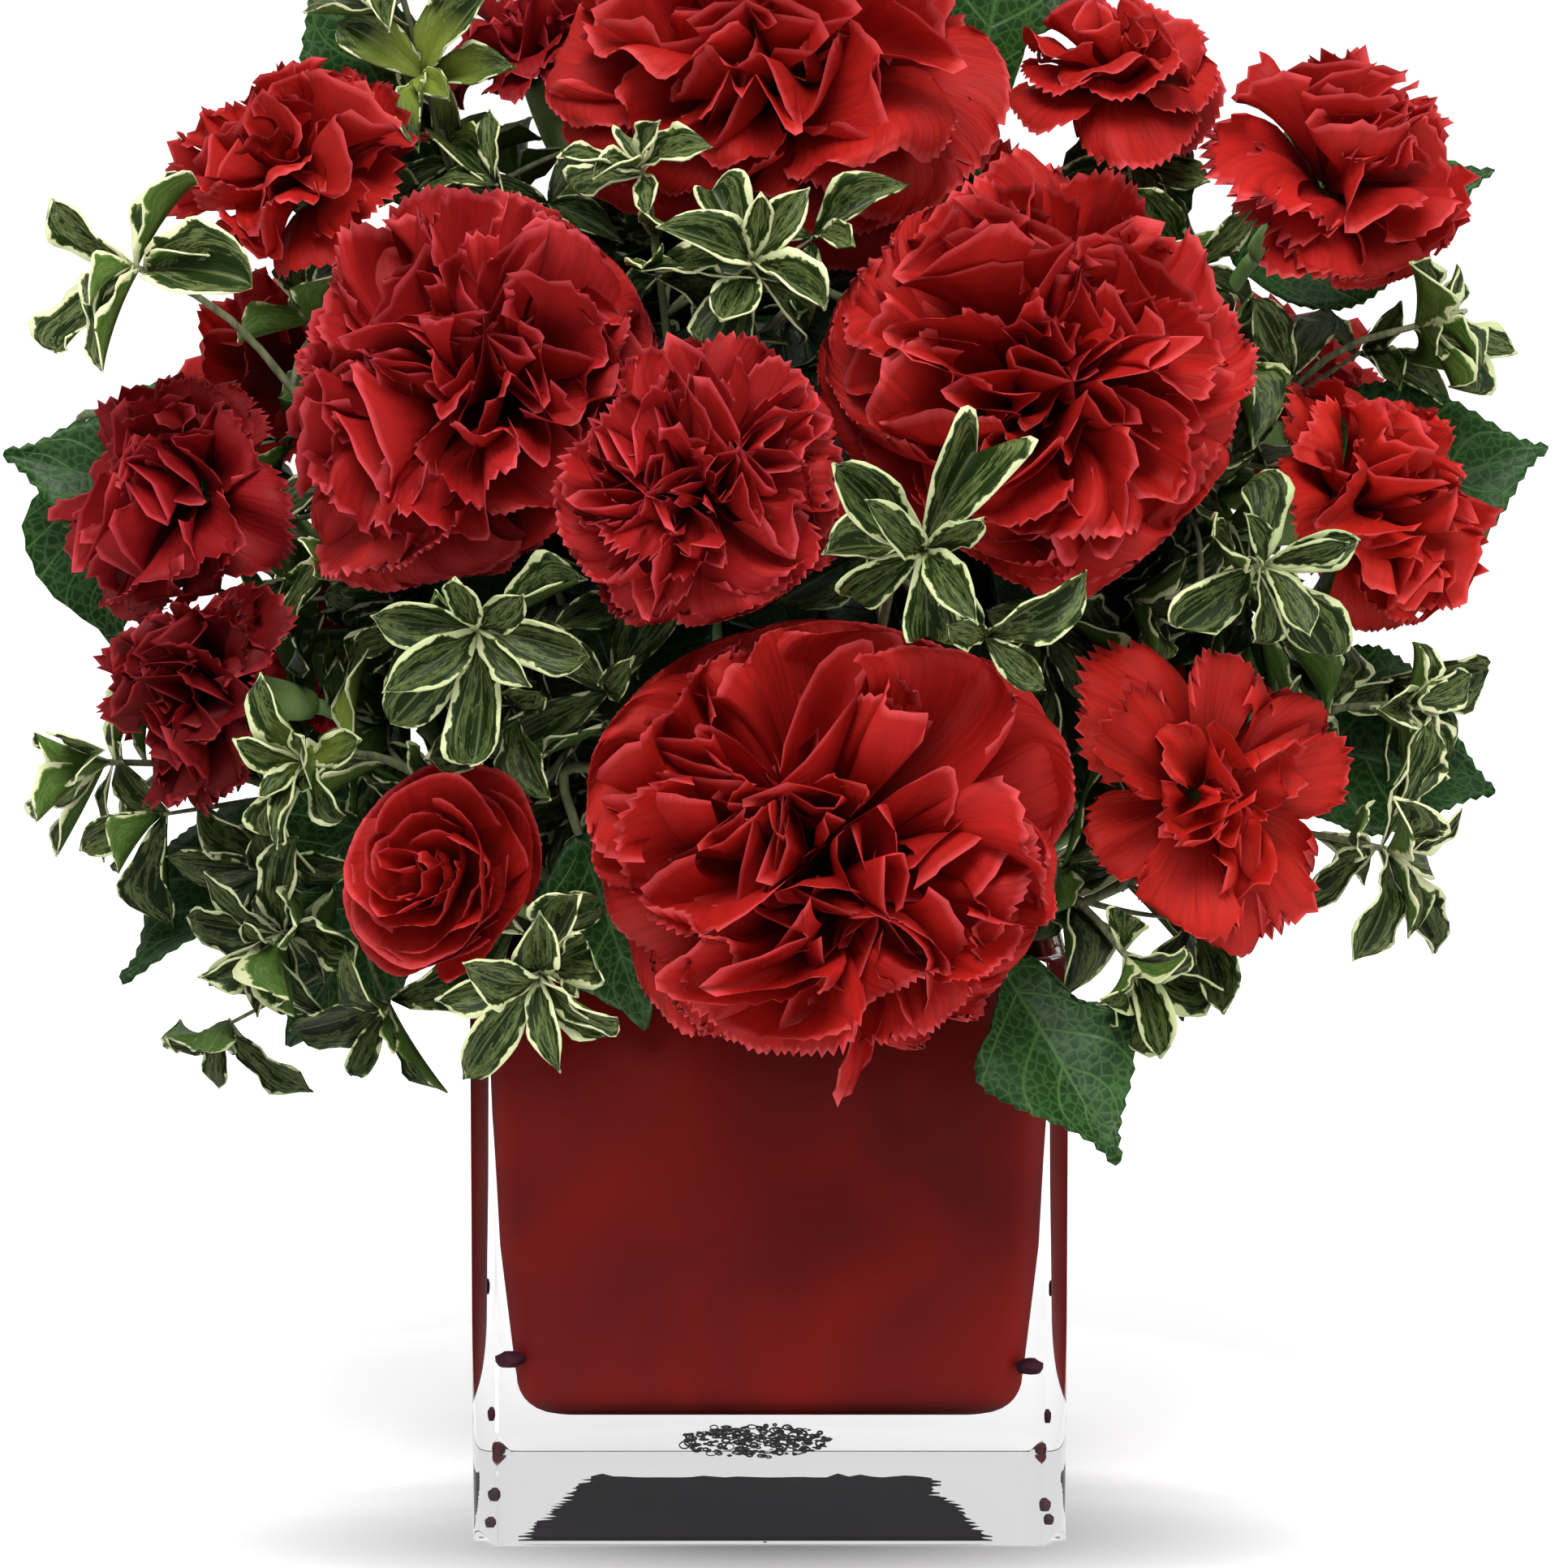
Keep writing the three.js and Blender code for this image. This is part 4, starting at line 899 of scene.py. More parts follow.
stem_green, stem_tree, stem_shader = shader_of("carnation stem")
stem_wax = noise_at(stem_tree, place_of(stem_tree), 140, 4)
stem_stops = [(0.3, (0.1, 0.2, 0.045)), (0.75, (0.3, 0.44, 0.15))]
finished(stem_tree, stem_shader, ramp(stem_tree, stem_wax, stem_stops), 0.5)
for plant in plants:
    if "carried" not in plant:
        continue
    meshes = []
    for bloom, path in zip(plant["carried"], plant["paths"]):
        meshes += [stem_mesh(bloom, path), calyx_mesh(bloom)]
    stem = piece(plant["node"].replace("carnation_", ""), *joined(meshes), [stem_green], [plant["node"]])

# The blooms are carnations: dozens of thin petals, each a fan on a narrow claw with a toothed edge.
# The outer ones spread flat or hang. The inner ones stand folded round one heart, or round two.
SPREAD_OUT = 1.14
PETAL_ROWS = np.array([0, 0.16, 0.32, 0.47, 0.6, 0.72, 0.82, 0.89, 0.94, 0.975, 1])[:, None]
# How much the petals of a tier differ: in their fan and their reach by a share, in their rise and their
# crest by radii of the bloom, and in how far they swing round by an angle.
FAN_DIFFERS = 0.14
REACH_DIFFERS = 0.13
RISE_DIFFERS = 0.14
CREST_DIFFERS = 0.05
SWING = 0.4
# Where a petal leaves the calyx and how far out it bends, in radii of the bloom. The petals of each tier
# leave it a step closer to its middle and higher than those outside them.
CLAW_OUT = 0.12
CLAW_UP = 0.06
CLAW_STEP = 0.03
BEND_OUT = 0.1
# The edge has teeth from here on along the petal. They are uneven by a share of their width.
TEETH_FROM = 0.78
TEETH_DIFFER = 0.35
LEAST_TEETH = 5
# How wide a pleat and a curl of the frilled edge are, and the scale of the creases, in millimetres.
PLEAT = 7
FRILL = 14
CREASE = 4
CREASE_DEPTH = 0.9
# How deep the pleats and the teeth's crimp are, how far the edge, its corners and the sides of a petal
# curl at most, all in radii of the bloom, and how strong the frill is beside the folds.
PLEAT_DEPTH = 0.011
CRIMP_DEPTH = 0.004
EDGE_CURL = 0.1
CORNER_CURL = 0.05
SIDE_CURL = 0.16
FRILL_SHARE = 0.38
FOLDS_FEWEST = 0.7
FOLDS_MORE = 1.1
# A tier is the number of its petals, half the angle of their fan in degrees and then, in radii of the
# bloom, how far out their edge is and how high, how high they bend, and how they ruffle, roll and cup.
TIER = ("count", "fan", "reach", "rise", "crest", "ruffle", "roll", "cup")
STANDARD_GUARDS = [
    (7, 32, 1.03, -0.05, 0.34, 0.1, 0.08, 0.0),
    (7, 31, 1.03, 0.18, 0.42, 0.12, 0.1, 0.03),
    (7, 30, 0.95, 0.4, 0.48, 0.14, 0.1, 0.06),
    (7, 30, 0.8, 0.58, 0.52, 0.17, 0.1, 0.1),
]
STANDARD_HEART = [
    (6, 31, 0.62, 0.74, 0.52, 0.19, 0.08, 0.1),
    (5, 34, 0.44, 0.82, 0.52, 0.21, 0.08, 0.1),
    (4, 42, 0.26, 0.84, 0.52, 0.2, 0.06, 0.08),
    (4, 60, 0.1, 0.78, 0.46, 0.16, 0.04, 0.05),
]
SMOOTH_GUARDS = [
    (5, 42, 1.04, -0.45, 0.3, 0.08, 0.08, -0.05),
    (5, 40, 1.08, -0.05, 0.42, 0.1, 0.1, 0.0),
    (5, 38, 0.98, 0.28, 0.5, 0.13, 0.12, 0.05),
    (5, 38, 0.78, 0.52, 0.54, 0.15, 0.1, 0.1),
]
SPRAY_GUARDS = [
    (6, 34, 1.03, 0.0, 0.36, 0.11, 0.1, 0.0),
    (6, 32, 0.98, 0.28, 0.44, 0.15, 0.12, 0.05),
    (5, 34, 0.8, 0.52, 0.5, 0.18, 0.1, 0.1),
]
SPRAY_HEART = [
    (4, 40, 0.52, 0.7, 0.52, 0.2, 0.08, 0.1),
    (4, 44, 0.3, 0.76, 0.5, 0.22, 0.06, 0.1),
    (4, 60, 0.12, 0.7, 0.44, 0.16, 0.04, 0.05),
]
RUFFLED_GUARDS = [
    (6, 32, 1.02, 0.06, 0.36, 0.12, 0.1, 0.0),
    (6, 30, 0.98, 0.36, 0.46, 0.16, 0.12, 0.05),
    (6, 30, 0.84, 0.6, 0.56, 0.2, 0.12, 0.1),
]
RUFFLED_HEART = [
    (6, 30, 0.64, 0.76, 0.58, 0.22, 0.1, 0.1),
    (5, 32, 0.44, 0.86, 0.58, 0.24, 0.08, 0.1),
    (4, 40, 0.24, 0.88, 0.54, 0.22, 0.06, 0.08),
    (4, 60, 0.1, 0.8, 0.46, 0.16, 0.04, 0.05),
]
UPRIGHT_GUARDS = [
    (5, 42, 1.02, -0.2, 0.3, 0.06, 0.12, 0.0),
    (5, 40, 1.02, 0.16, 0.4, 0.08, 0.12, 0.0),
    (5, 38, 0.85, 0.5, 0.5, 0.13, 0.1, 0.08),
]
FLAT_GUARDS = [
    (7, 25, 1.12, 0.06, 0.32, 0.09, 0.1, 0.04),
    (5, 27, 0.96, 0.26, 0.38, 0.13, 0.1, 0.08),
    (4, 30, 0.6, 0.44, 0.44, 0.17, 0.08, 0.1),
]
FLAT_HEART = [
    (4, 36, 0.34, 0.52, 0.42, 0.2, 0.08, 0.1),
    (4, 60, 0.12, 0.5, 0.4, 0.16, 0.04, 0.1),
]
ROSETTE_GUARDS = [
    (5, 62, 0.98, 0.46, 0.2, 0.03, 0.12, -0.1),
    (5, 62, 0.86, 0.7, 0.3, 0.03, 0.12, -0.1),
]
ROSETTE_HEART = [
    (5, 62, 0.7, 0.86, 0.4, 0.04, 0.12, -0.1),
    (4, 70, 0.52, 0.94, 0.48, 0.05, 0.12, -0.08),
    (4, 70, 0.34, 0.98, 0.54, 0.06, 0.1, -0.05),
    (3, 70, 0.16, 0.98, 0.56, 0.06, 0.06, 0.0),
]
# Each heart is the turn that it leans towards and how far it leans, in degrees. The turns are counted
# from a bloom's own.
ONE_HEART = [(0, 0)]
TWO_HEARTS = [(0, 25), (190, 17)]
HEART_TURNS = {
    "middle": 200,
    "front_low": -55,
    "upper_right": 70,
    "upper_left": 190,
    "top": 250,
    "back_low": 20,
    "back_high": 120,
}
# Which way the petals of a bloom are longer, and by what share.
BLOOM_LEANS = {
    "front_low": (0, 0, 0.33),
    "upper_left": (0.1, 0, 0),
    "upper_right": (-0.13, 0, -0.14),
    "top": (-0.06, 0, 0),
    "middle": (0.03, 0, 0.06),
    "left": (-0.12, 0, -0.36),
    "left_high": (0.2, 0, -0.32),
    "right_high": (-0.26, 0, -0.3),
    "right": (-0.1, 0, -0.12),
    "top_right": (-0.16, 0, -0.12),
    "rosette": (0, 0, 0.04),
}
# A loose petal is its turn round the bloom in degrees, and then what a tier says after its number.
LOOSE_PETALS = {
    "upper_right": [
        (-74, 27, 1.0, 0.3, 0.34, 0.02, 0.02, -0.16),
        (-44, 23, 1.06, 0.3, 0.4, 0.05, 0.06, 0.06),
        (-10, 20, 1.08, 0.42, 0.46, 0.06, -0.06, 0.08),
        (12, 20, 1.02, 0.2, 0.4, 0.06, 0.04, 0.05),
        (176, 40, 1.16, -0.2, 0.3, 0.03, 0.04, 0.0),
        (-112, 30, 1.1, 0.0, 0.36, 0.05, 0.05, 0.0),
    ],
    "upper_left": [
        (58, 25, 1.14, 0.42, 0.46, 0.04, 0.06, 0.1),
        (24, 26, 1.18, 0.36, 0.42, 0.05, -0.06, 0.08),
        (98, 22, 1.04, 0.34, 0.46, 0.06, 0.05, 0.05),
        (-136, 28, 1.1, 0.16, 0.42, 0.12, 0.06, 0.05),
        (-96, 26, 1.04, 0.1, 0.42, 0.1, 0.06, 0.05),
        (160, 24, 1.08, 0.22, 0.46, 0.1, 0.06, 0.05),
    ],
    "front_low": [
        (14, 38, 1.14, 0.24, 0.4, 0.05, 0.04, 0.05),
        (-26, 30, 1.06, 0.2, 0.4, 0.07, 0.05, 0.05),
        (-62, 30, 1.0, 0.1, 0.4, 0.06, 0.06, 0.0),
        (-98, 14, 0.88, 0.2, 0.42, 0.1, 0.04, -0.1),
        (-132, 34, 0.96, 0.16, 0.4, 0.05, 0.06, 0.0),
        (176, 30, 1.12, 0.16, 0.42, 0.07, 0.05, 0.04),
        (140, 28, 1.08, 0.34, 0.44, 0.07, 0.05, 0.08),
    ],
    "top": [
        (-44, 30, 1.12, -0.12, 0.44, 0.03, 0.05, -0.1),
        (-116, 24, 1.06, -0.16, 0.42, 0.05, 0.05, -0.12),
        (-8, 27, 1.12, 0.05, 0.42, 0.06, 0.05, 0.0),
        (-160, 26, 1.1, 0.1, 0.42, 0.07, 0.05, 0.0),
    ],
    "middle": [
        (96, 21, 1.2, 0.1, 0.4, 0.1, 0.06, 0.04),
        (44, 24, 1.14, 0.14, 0.4, 0.1, 0.06, 0.04),
        (-4, 22, 1.16, 0.16, 0.4, 0.1, 0.06, 0.04),
        (-62, 22, 1.14, 0.14, 0.42, 0.1, 0.06, 0.04),
        (-112, 22, 1.12, 0.1, 0.42, 0.08, 0.06, 0.04),
        (-154, 28, 1.16, 0.12, 0.4, 0.06, 0.05, 0.04),
        (152, 22, 1.1, 0.14, 0.4, 0.1, 0.06, 0.04),
    ],
    "right_high": [
        (158, 26, 1.22, 0.15, 0.4, 0.08, 0.05, 0.05),
        (-152, 26, 1.16, 0.05, 0.4, 0.08, 0.05, 0.05),
        (-98, 28, 1.12, 0.0, 0.4, 0.08, 0.05, 0.0),
        (-52, 26, 1.1, 0.0, 0.4, 0.08, 0.05, 0.0),
    ],
    "left_low": [
        (-95, 28, 1.1, 0.1, 0.42, 0.1, 0.05, 0.0),
        (-40, 28, 1.1, 0.16, 0.42, 0.1, 0.05, 0.0),
        (20, 26, 1.06, 0.2, 0.42, 0.1, 0.05, 0.0),
    ],
    "left": [
        (76, 30, 1.1, 0.42, 0.42, 0.06, 0.05, 0.12),
        (118, 26, 1.14, 0.2, 0.42, 0.08, 0.05, 0.08),
        (-150, 30, 1.16, 0.1, 0.4, 0.06, 0.05, 0.06),
        (-104, 26, 1.16, 0.0, 0.4, 0.06, 0.05, 0.04),
    ],
}


def style_of(guards, heart, hearts, pitch, bite, rounding):
    """A way of building a bloom: its outer and inner tiers, its hearts, and the edge of its petals."""
    return {
        "guards": guards,
        "heart": heart,
        "hearts": hearts,
        "pitch": pitch,
        "bite": bite,
        "round": rounding,
    }


STANDARD_STYLE = style_of(STANDARD_GUARDS, STANDARD_HEART, TWO_HEARTS, 2.2, 2.7, 0.28)
SMOOTH_STYLE = style_of(SMOOTH_GUARDS, STANDARD_HEART, TWO_HEARTS, 2.4, 2.0, 0.34)
SPRAY_STYLE = style_of(SPRAY_GUARDS, SPRAY_HEART, ONE_HEART, 2.2, 2.5, 0.34)
UPRIGHT_STYLE = style_of(UPRIGHT_GUARDS, SPRAY_HEART, ONE_HEART, 2.2, 1.4, 0.34)
RUFFLED_STYLE = style_of(RUFFLED_GUARDS, RUFFLED_HEART, ONE_HEART, 2.2, 2.6, 0.28)
FLAT_STYLE = style_of(FLAT_GUARDS, FLAT_HEART, ONE_HEART, 2.7, 4.2, 0.4)
ROSETTE_STYLE = style_of(ROSETTE_GUARDS, ROSETTE_HEART, ONE_HEART, 2.6, 0.3, 0.16)
BLOOM_STYLES = {
    "rosette": ROSETTE_STYLE,
    "right_low": FLAT_STYLE,
    "middle": STANDARD_STYLE,
    "top_right": UPRIGHT_STYLE,
    "top": SMOOTH_STYLE,
    "left_low": RUFFLED_STYLE,
    "right": RUFFLED_STYLE,
    "right_high": RUFFLED_STYLE,
    "left_high": RUFFLED_STYLE,
}
PETAL_GLOW = 0.2
# The colours of a petal are those of its throat, its middle and its edge. The darker throat is partly the
# petal's own colour and partly painted shade, and the paler edge is a painted highlight.
PETAL_COLOURS = {
    "scarlet petals": ((0.18, 0.003, 0.003), (0.44, 0.012, 0.009), (0.68, 0.065, 0.07)),
    "orange red petals": ((0.22, 0.004, 0.003), (0.48, 0.014, 0.008), (0.68, 0.055, 0.055)),
    "cherry red petals": ((0.15, 0.002, 0.003), (0.38, 0.011, 0.011), (0.64, 0.065, 0.078)),
    "crimson petals": ((0.1, 0.001, 0.002), (0.27, 0.006, 0.008), (0.55, 0.045, 0.058)),
    "dark crimson petals, partly painted shade": ((0.05, 0.0006, 0.001), (0.14, 0.002, 0.003), (0.34, 0.02, 0.025)),
}
# The low left bloom's darkest red is partly its own colour and partly painted shade, for that corner of the
# bunch lies in shadow.
PETALS_OF = {
    "right_low": "orange red petals",
    "right": "orange red petals",
    "left_low": "dark crimson petals, partly painted shade",
    "left": "crimson petals",
    "top_left": "crimson petals",
    "upper_left": "cherry red petals",
    "middle": "cherry red petals",
    "back_left_low": "crimson petals",
    "back_top": "orange red petals",
}


def spread(seed, amount):
    """A number that looks random, up to an amount above or below zero."""
    return (draw(seed) - 0.5) * 2 * amount


def soft_curve(t, start, bend, end):
    """A value that goes from a start towards a bend and on to an end, and how fast it changes."""
    rest = 1 - t
    value = rest**2 * start + 2 * t * rest * bend + t**2 * end
    return value, rest * (bend - start) + t * (end - bend)


def petal_lift(shape, radius, seed, s, t, width):
    """How far each point of a petal stands off its plain curve, in folds, frills, pleats and creases."""
    waves = FOLDS_FEWEST + draw(seed + 0.3) * FOLDS_MORE
    phase = draw(seed + 0.4) * TURN
    folds = np.sin(s * waves * math.pi + phase + 1.3 * t) * (1 - 0.4 * s**2) * (0.5 + draw(seed + 0.9))
    curls = 1 + width / FRILL + draw(seed + 0.5)
    frill = np.sin(s * curls * math.pi + phase * 2 - 2 * t) * FRILL_SHARE * t**3
    bulges = shape["ruffle"] * (folds + frill) * t**1.5 + shape["roll"] * s * t + shape["cup"] * s**2 * t
    bulges = bulges + spread(seed + 0.65, SIDE_CURL) * np.abs(s) * t**1.3
    crimp = CRIMP_DEPTH * np.where(np.arange(s.size) % 2 == 0, -1, 1)[None, :] * t**4
    curl = spread(seed + 0.35, EDGE_CURL) * t**4 + spread(seed + 0.45, CORNER_CURL) * t**3 * s
    pleated = s * width / PLEAT * TURN * 0.5 + phase + spread(seed + 0.55, 2) * s**2
    pleats = PLEAT_DEPTH * np.sin(pleated) * t**2
    creased = s * width / CREASE
    creases = np.sin(creased + 5 * t + phase) * np.cos(7 * t - creased * 0.6 + phase * 3)
    return radius * (bulges + crimp + curl + pleats) + CREASE_DEPTH * creases * t


def petal_sheet(bloom, axis, style, tier, level, seed, turn):
    """The points of one petal as a grid, and for each its place across, along and a shade."""
    shape = dict(zip(TIER, tier))
    radius = bloom["radius"] * SPREAD_OUT
    half_fan = math.radians(shape["fan"]) * (1 + spread(seed, FAN_DIFFERS))
    width = half_fan * shape["reach"] * radius
    columns = 2 * max(LEAST_TEETH, round(2 * width / style["pitch"])) + 1
    uneven = [spread(seed + c * 0.71, TEETH_DIFFER * 2 / columns) for c in range(columns - 2)]
    s = (np.linspace(-1, 1, columns) + np.array([0, *uneven, 0]))[None, :]
    t = PETAL_ROWS
    depth = np.array([draw(seed + c * 0.37) for c in range(columns)])
    cut = np.where(np.arange(columns) % 2 == 0, 0.5 + 0.9 * depth, 0.3 * depth)
    bite = style["bite"] * (0.45 + 0.65 * shape["reach"]) / radius * cut
    rounded = style["round"] * (0.45 * s**2 + 0.55 * s**4)
    travel = t * (1 - t * rounded) - bite * np.clip((t - TEETH_FROM) / (1 - TEETH_FROM), 0, 1) ** 1.5
    reach = shape["reach"] * radius * (1 + spread(seed + 0.1, REACH_DIFFERS))
    rise = (shape["rise"] + spread(seed + 0.2, RISE_DIFFERS)) * radius
    crest = (shape["crest"] + spread(seed + 0.25, CREST_DIFFERS)) * radius
    claw_out = max(CLAW_OUT - CLAW_STEP * level, 0) * radius
    claw_up = (CLAW_UP + CLAW_STEP * level) * radius
    r, dr = soft_curve(travel, claw_out, 0.5 * reach + BEND_OUT * radius, reach)
    h, dh = soft_curve(travel, claw_up, crest, rise)
    steep = np.hypot(dr, dh)
    lift = petal_lift(shape, radius, seed, s, t, width)
    angle = turn + s * half_fan + spread(seed + 0.6, SWING) * t**2
    u, w = across(axis)
    out = np.cos(angle)[..., None] * u + np.sin(angle)[..., None] * w
    r = r * (1 + t * (out @ np.array(BLOOM_LEANS.get(bloom["name"], (0, 0, 0)))))
    points = bloom["mouth"] + out * (r - lift * dh / steep)[..., None]
    points = points + axis * (h + lift * dr / steep)[..., None]
    shade = np.full_like(travel, draw(seed + 0.8))
    return points, np.stack([s * width + 0 * t, t + 0 * s, shade], -1)


def turn_of(bloom, tier, level, seed, k):
    """The angle round the bloom at which a petal of a ring stands."""
    return TURN * k / tier[0] + level * GOLDEN_TURN + bloom["seed"] + spread(seed + 0.7, 0.3)


def leaning(bloom, turn, lean):
    """The bloom's axis leaned over by an angle, towards a turn seen from its front."""
    u, w = across(bloom["axis"])
    turn, lean = math.radians(turn), math.radians(lean)
    return bloom["axis"] * math.cos(lean) + (u * math.cos(turn) + w * math.sin(turn)) * math.sin(lean)


def side_of_heart(bloom, axis, lean):
    """A cell with a single wall, which keeps the petals of a leaning heart to their own side."""
    lean = math.radians(lean)
    middle = bloom["mouth"] + axis * bloom["radius"] * 0.5
    away = unit(bloom["axis"] * math.cos(lean) - axis)
    gap = bloom["radius"] * 0.5 * math.sin(lean)
    return middle, np.array([away / gap])


def bloom_petals(bloom, style, cell):
    """All petals of a bloom, pressed into its cell: the outer tiers, the loose ones and the hearts."""
    for level, tier in enumerate(style["guards"]):
        for k in range(tier[0]):
            seed = bloom["seed"] + level * 10 + k
            turn = turn_of(bloom, tier, level, seed, k)
            points, place = petal_sheet(bloom, bloom["axis"], style, tier, level, seed, turn)
            yield pressed(points, cell), place
    for k, (turn, *rest) in enumerate(LOOSE_PETALS.get(bloom["name"], [])):
        seed = bloom["seed"] + 30.5 + k
        points, place = petal_sheet(bloom, bloom["axis"], style, (1, *rest), 1, seed, math.radians(turn))
        yield pressed(points, cell), place
    for side, (heart_turn, lean) in enumerate(style["hearts"]):
        axis = leaning(bloom, heart_turn + HEART_TURNS.get(bloom["name"], 0), lean)
        for level, tier in enumerate(style["heart"], len(style["guards"])):
            for k in range(tier[0]):
                seed = bloom["seed"] + level * 10 + side * 5 + k
                turn = turn_of(bloom, tier, level, seed, k)
                points, place = petal_sheet(bloom, axis, style, tier, level, seed, turn)
                if lean:
                    points = pressed(points, side_of_heart(bloom, axis, lean))
                yield pressed(points, cell), place


def grid_faces(rows, columns):
    """The faces of a grid of points."""
    return [
        (r * columns + c, r * columns + c + 1, (r + 1) * columns + c + 1, (r + 1) * columns + c)
        for r in range(rows - 1)
        for c in range(columns - 1)
    ]


def marked(made, name, values):
    """Keeps a vector or a number for each vertex of a piece, which its material reads."""
    kind, field = ("FLOAT", "value") if values.ndim == 1 else ("FLOAT_VECTOR", "vector")
    layer = made.data.attributes.new(name, kind, "POINT")
    layer.data.foreach_set(field, np.asarray(values, np.float32).ravel())


def sheets_piece(name, sheets, materials, node, mark):
    """A piece of thin sheets, each a grid of points with what they are marked with."""
    meshes = [(points.reshape(-1, 3), grid_faces(*points.shape[:2])) for points, _ in sheets]
    made = piece(name, *joined(meshes), materials, [node])
    marked(made, mark, np.concatenate([place.reshape(-1, 3) for _, place in sheets]))
    return made


def mark_of(tree, name):
    """What the vertices of a piece are marked with, as the outputs of a node."""
    mark = tree.nodes.new("ShaderNodeAttribute")
    mark.attribute_name = name
    return mark.outputs


def petal_material(name, throat, middle, edge):
    """A petal with fine veins, which lets some light through. Its darker throat is partly its own colour
    and partly painted shade, and its pale edge is a painted highlight.
    """
    material, tree, shader = shader_of(name)
    place = mark_of(tree, "petal")["Vector"]
    parts = parts_of(tree, place)
    # The throat darkens partly as painted shade, and the edge pales as a painted highlight.
    along = ramp(tree, parts["Y"], [(0.12, throat), (0.55, middle), (0.93, middle), (0.99, edge)])
    veins = noise_at(tree, stretched(tree, place, (0.75, 3.0, 40)), 1.0, 4)
    vein_tones = ramp(tree, veins, [(0.3, (0.35, 0.35, 0.35)), (0.7, (1, 1, 1))])
    veined = mixed(tree, 0.4, along, vein_tones, "MULTIPLY")
    tint = ramp(tree, parts["Z"], [(0.0, (0.8, 0.8, 0.8)), (1.0, (1, 1, 1))])
    colour = mixed(tree, 1.0, veined, tint, "MULTIPLY")
    finished(tree, shader, colour, 0.6, 0.15)
    raised(tree, shader, veins, 0.0006, 0.6)
    glow = tree.nodes.new("ShaderNodeBsdfTranslucent")
    tree.links.new(colour, glow.inputs["Color"])
    through = tree.nodes.new("ShaderNodeMixShader")
    through.inputs["Fac"].default_value = PETAL_GLOW
    tree.links.new(shader.outputs["BSDF"], through.inputs[1])
    tree.links.new(glow.outputs["BSDF"], through.inputs[2])
    tree.links.new(through.outputs["Shader"], tree.nodes["Material Output"].inputs["Surface"])
    return material


petal_materials = {name: petal_material(name, *colours) for name, colours in PETAL_COLOURS.items()}
for bloom in blooms.values():
    style = BLOOM_STYLES.get(bloom["name"], STANDARD_STYLE if bloom["kind"] is STANDARD else SPRAY_STYLE)
    petals = list(bloom_petals(bloom, style, cell_of(bloom, None)))
    finish = petal_materials[PETALS_OF.get(bloom["name"], "scarlet petals")]
    made = sheets_piece("bloom_" + bloom["name"], petals, [finish], "carnation_" + bloom["name"], "petal")

# The pittosporum is a woody twig with small blunt leaves in whorls round its tips, more of them lower
# down, and short side shoots that fill the bouquet. Each leaf is deep green with sage patches and a
# wavy cream edge, and paler below.
WHORL_LEAVES = 8
LARGE_WHORL = 26
LARGE_WHORL_LEAVES = 13
LARGE_WHORL_SHARE = 0.75
LEAF_GRID = (12, 9)
LEAF_THICKNESS = 0.35
# A leaf droops, folds along its rib, ripples and bends aside by shares of its length, and twists by an
# angle. Where a name ends in DIFFERS, it is how much the leaves differ.
LEAF_DROOP = 0.16
LEAF_DROOP_DIFFERS = 0.3
LEAF_FOLD = 0.2
LEAF_FOLD_DIFFERS = 0.16
LEAF_RIPPLE = 0.05
LEAF_ASIDE = 0.16
LEAF_TWIST = 0.7
# The outermost leaf of a whorl stands open by this angle, and the next ones ever less. Its length is in
# radii of the whorl, and its half width in its own lengths.
WHORL_OPEN = 1.5
WHORL_CLOSES = 0.95
WHORL_HANGS = 0.22
WHORL_LONGEST = 1.26
WHORL_SHORTENS = 0.5
WHORL_LEAF_WIDTH = 0.2
TWIG_LEAF_SPACING = 8
TWIG_LEAF_LENGTH = 21
TWIG_LEAVES_ABOVE = 124
TWIG_THINNEST = 0.55
WOOD_SIDES = 8
BLOOM_ROOM = 0.98
GLASS_ROOM = 1.5


def leaf_sheet(root, axis, up, length, width, seed, grid=LEAF_GRID):
    """A small blunt leaf as a grid of points, and for each its place across, along and from the edge."""
    side = unit(np.cross(axis, up))
    up = np.cross(side, axis)
    t = np.linspace(0, 1, grid[0])[:, None]
    t = t * (1.35 - 0.35 * t)
    s = np.linspace(-1, 1, grid[1])[None, :]
    outline = 0.04 * (1 - t) + 1.7 * t**0.85 * (1 - t**3.4) ** (0.62 + 0.36 * draw(seed + 0.7))
    ripple = np.sin(t * (9 + 7 * draw(seed)) + draw(seed + 0.1) * TURN + 2 * np.sign(s))
    droop = LEAF_DROOP + spread(seed + 0.2, LEAF_DROOP_DIFFERS)
    fold = LEAF_FOLD + spread(seed + 0.5, LEAF_FOLD_DIFFERS)
    lift = fold * np.abs(s) * outline - droop * t**2 + LEAF_RIPPLE * ripple * s**2 * outline
    twist = spread(seed + 0.3, LEAF_TWIST) * t
    along_leaf = t * length * (1 - 0.04 * s**2) * (1 - 0.5 * droop**2 * t)
    sideways = s * outline * width
    bend = spread(seed + 0.4, LEAF_ASIDE) * t**2 * length
    points = root + axis * along_leaf[..., None]
    points = points + side * (sideways * np.cos(twist) + bend)[..., None]
    points = points + up * (lift * length + sideways * np.sin(twist))[..., None]
    edge = (1 - np.abs(s)) * outline * width
    return points, np.stack([s + 0 * t, t + 0 * s, edge], -1)


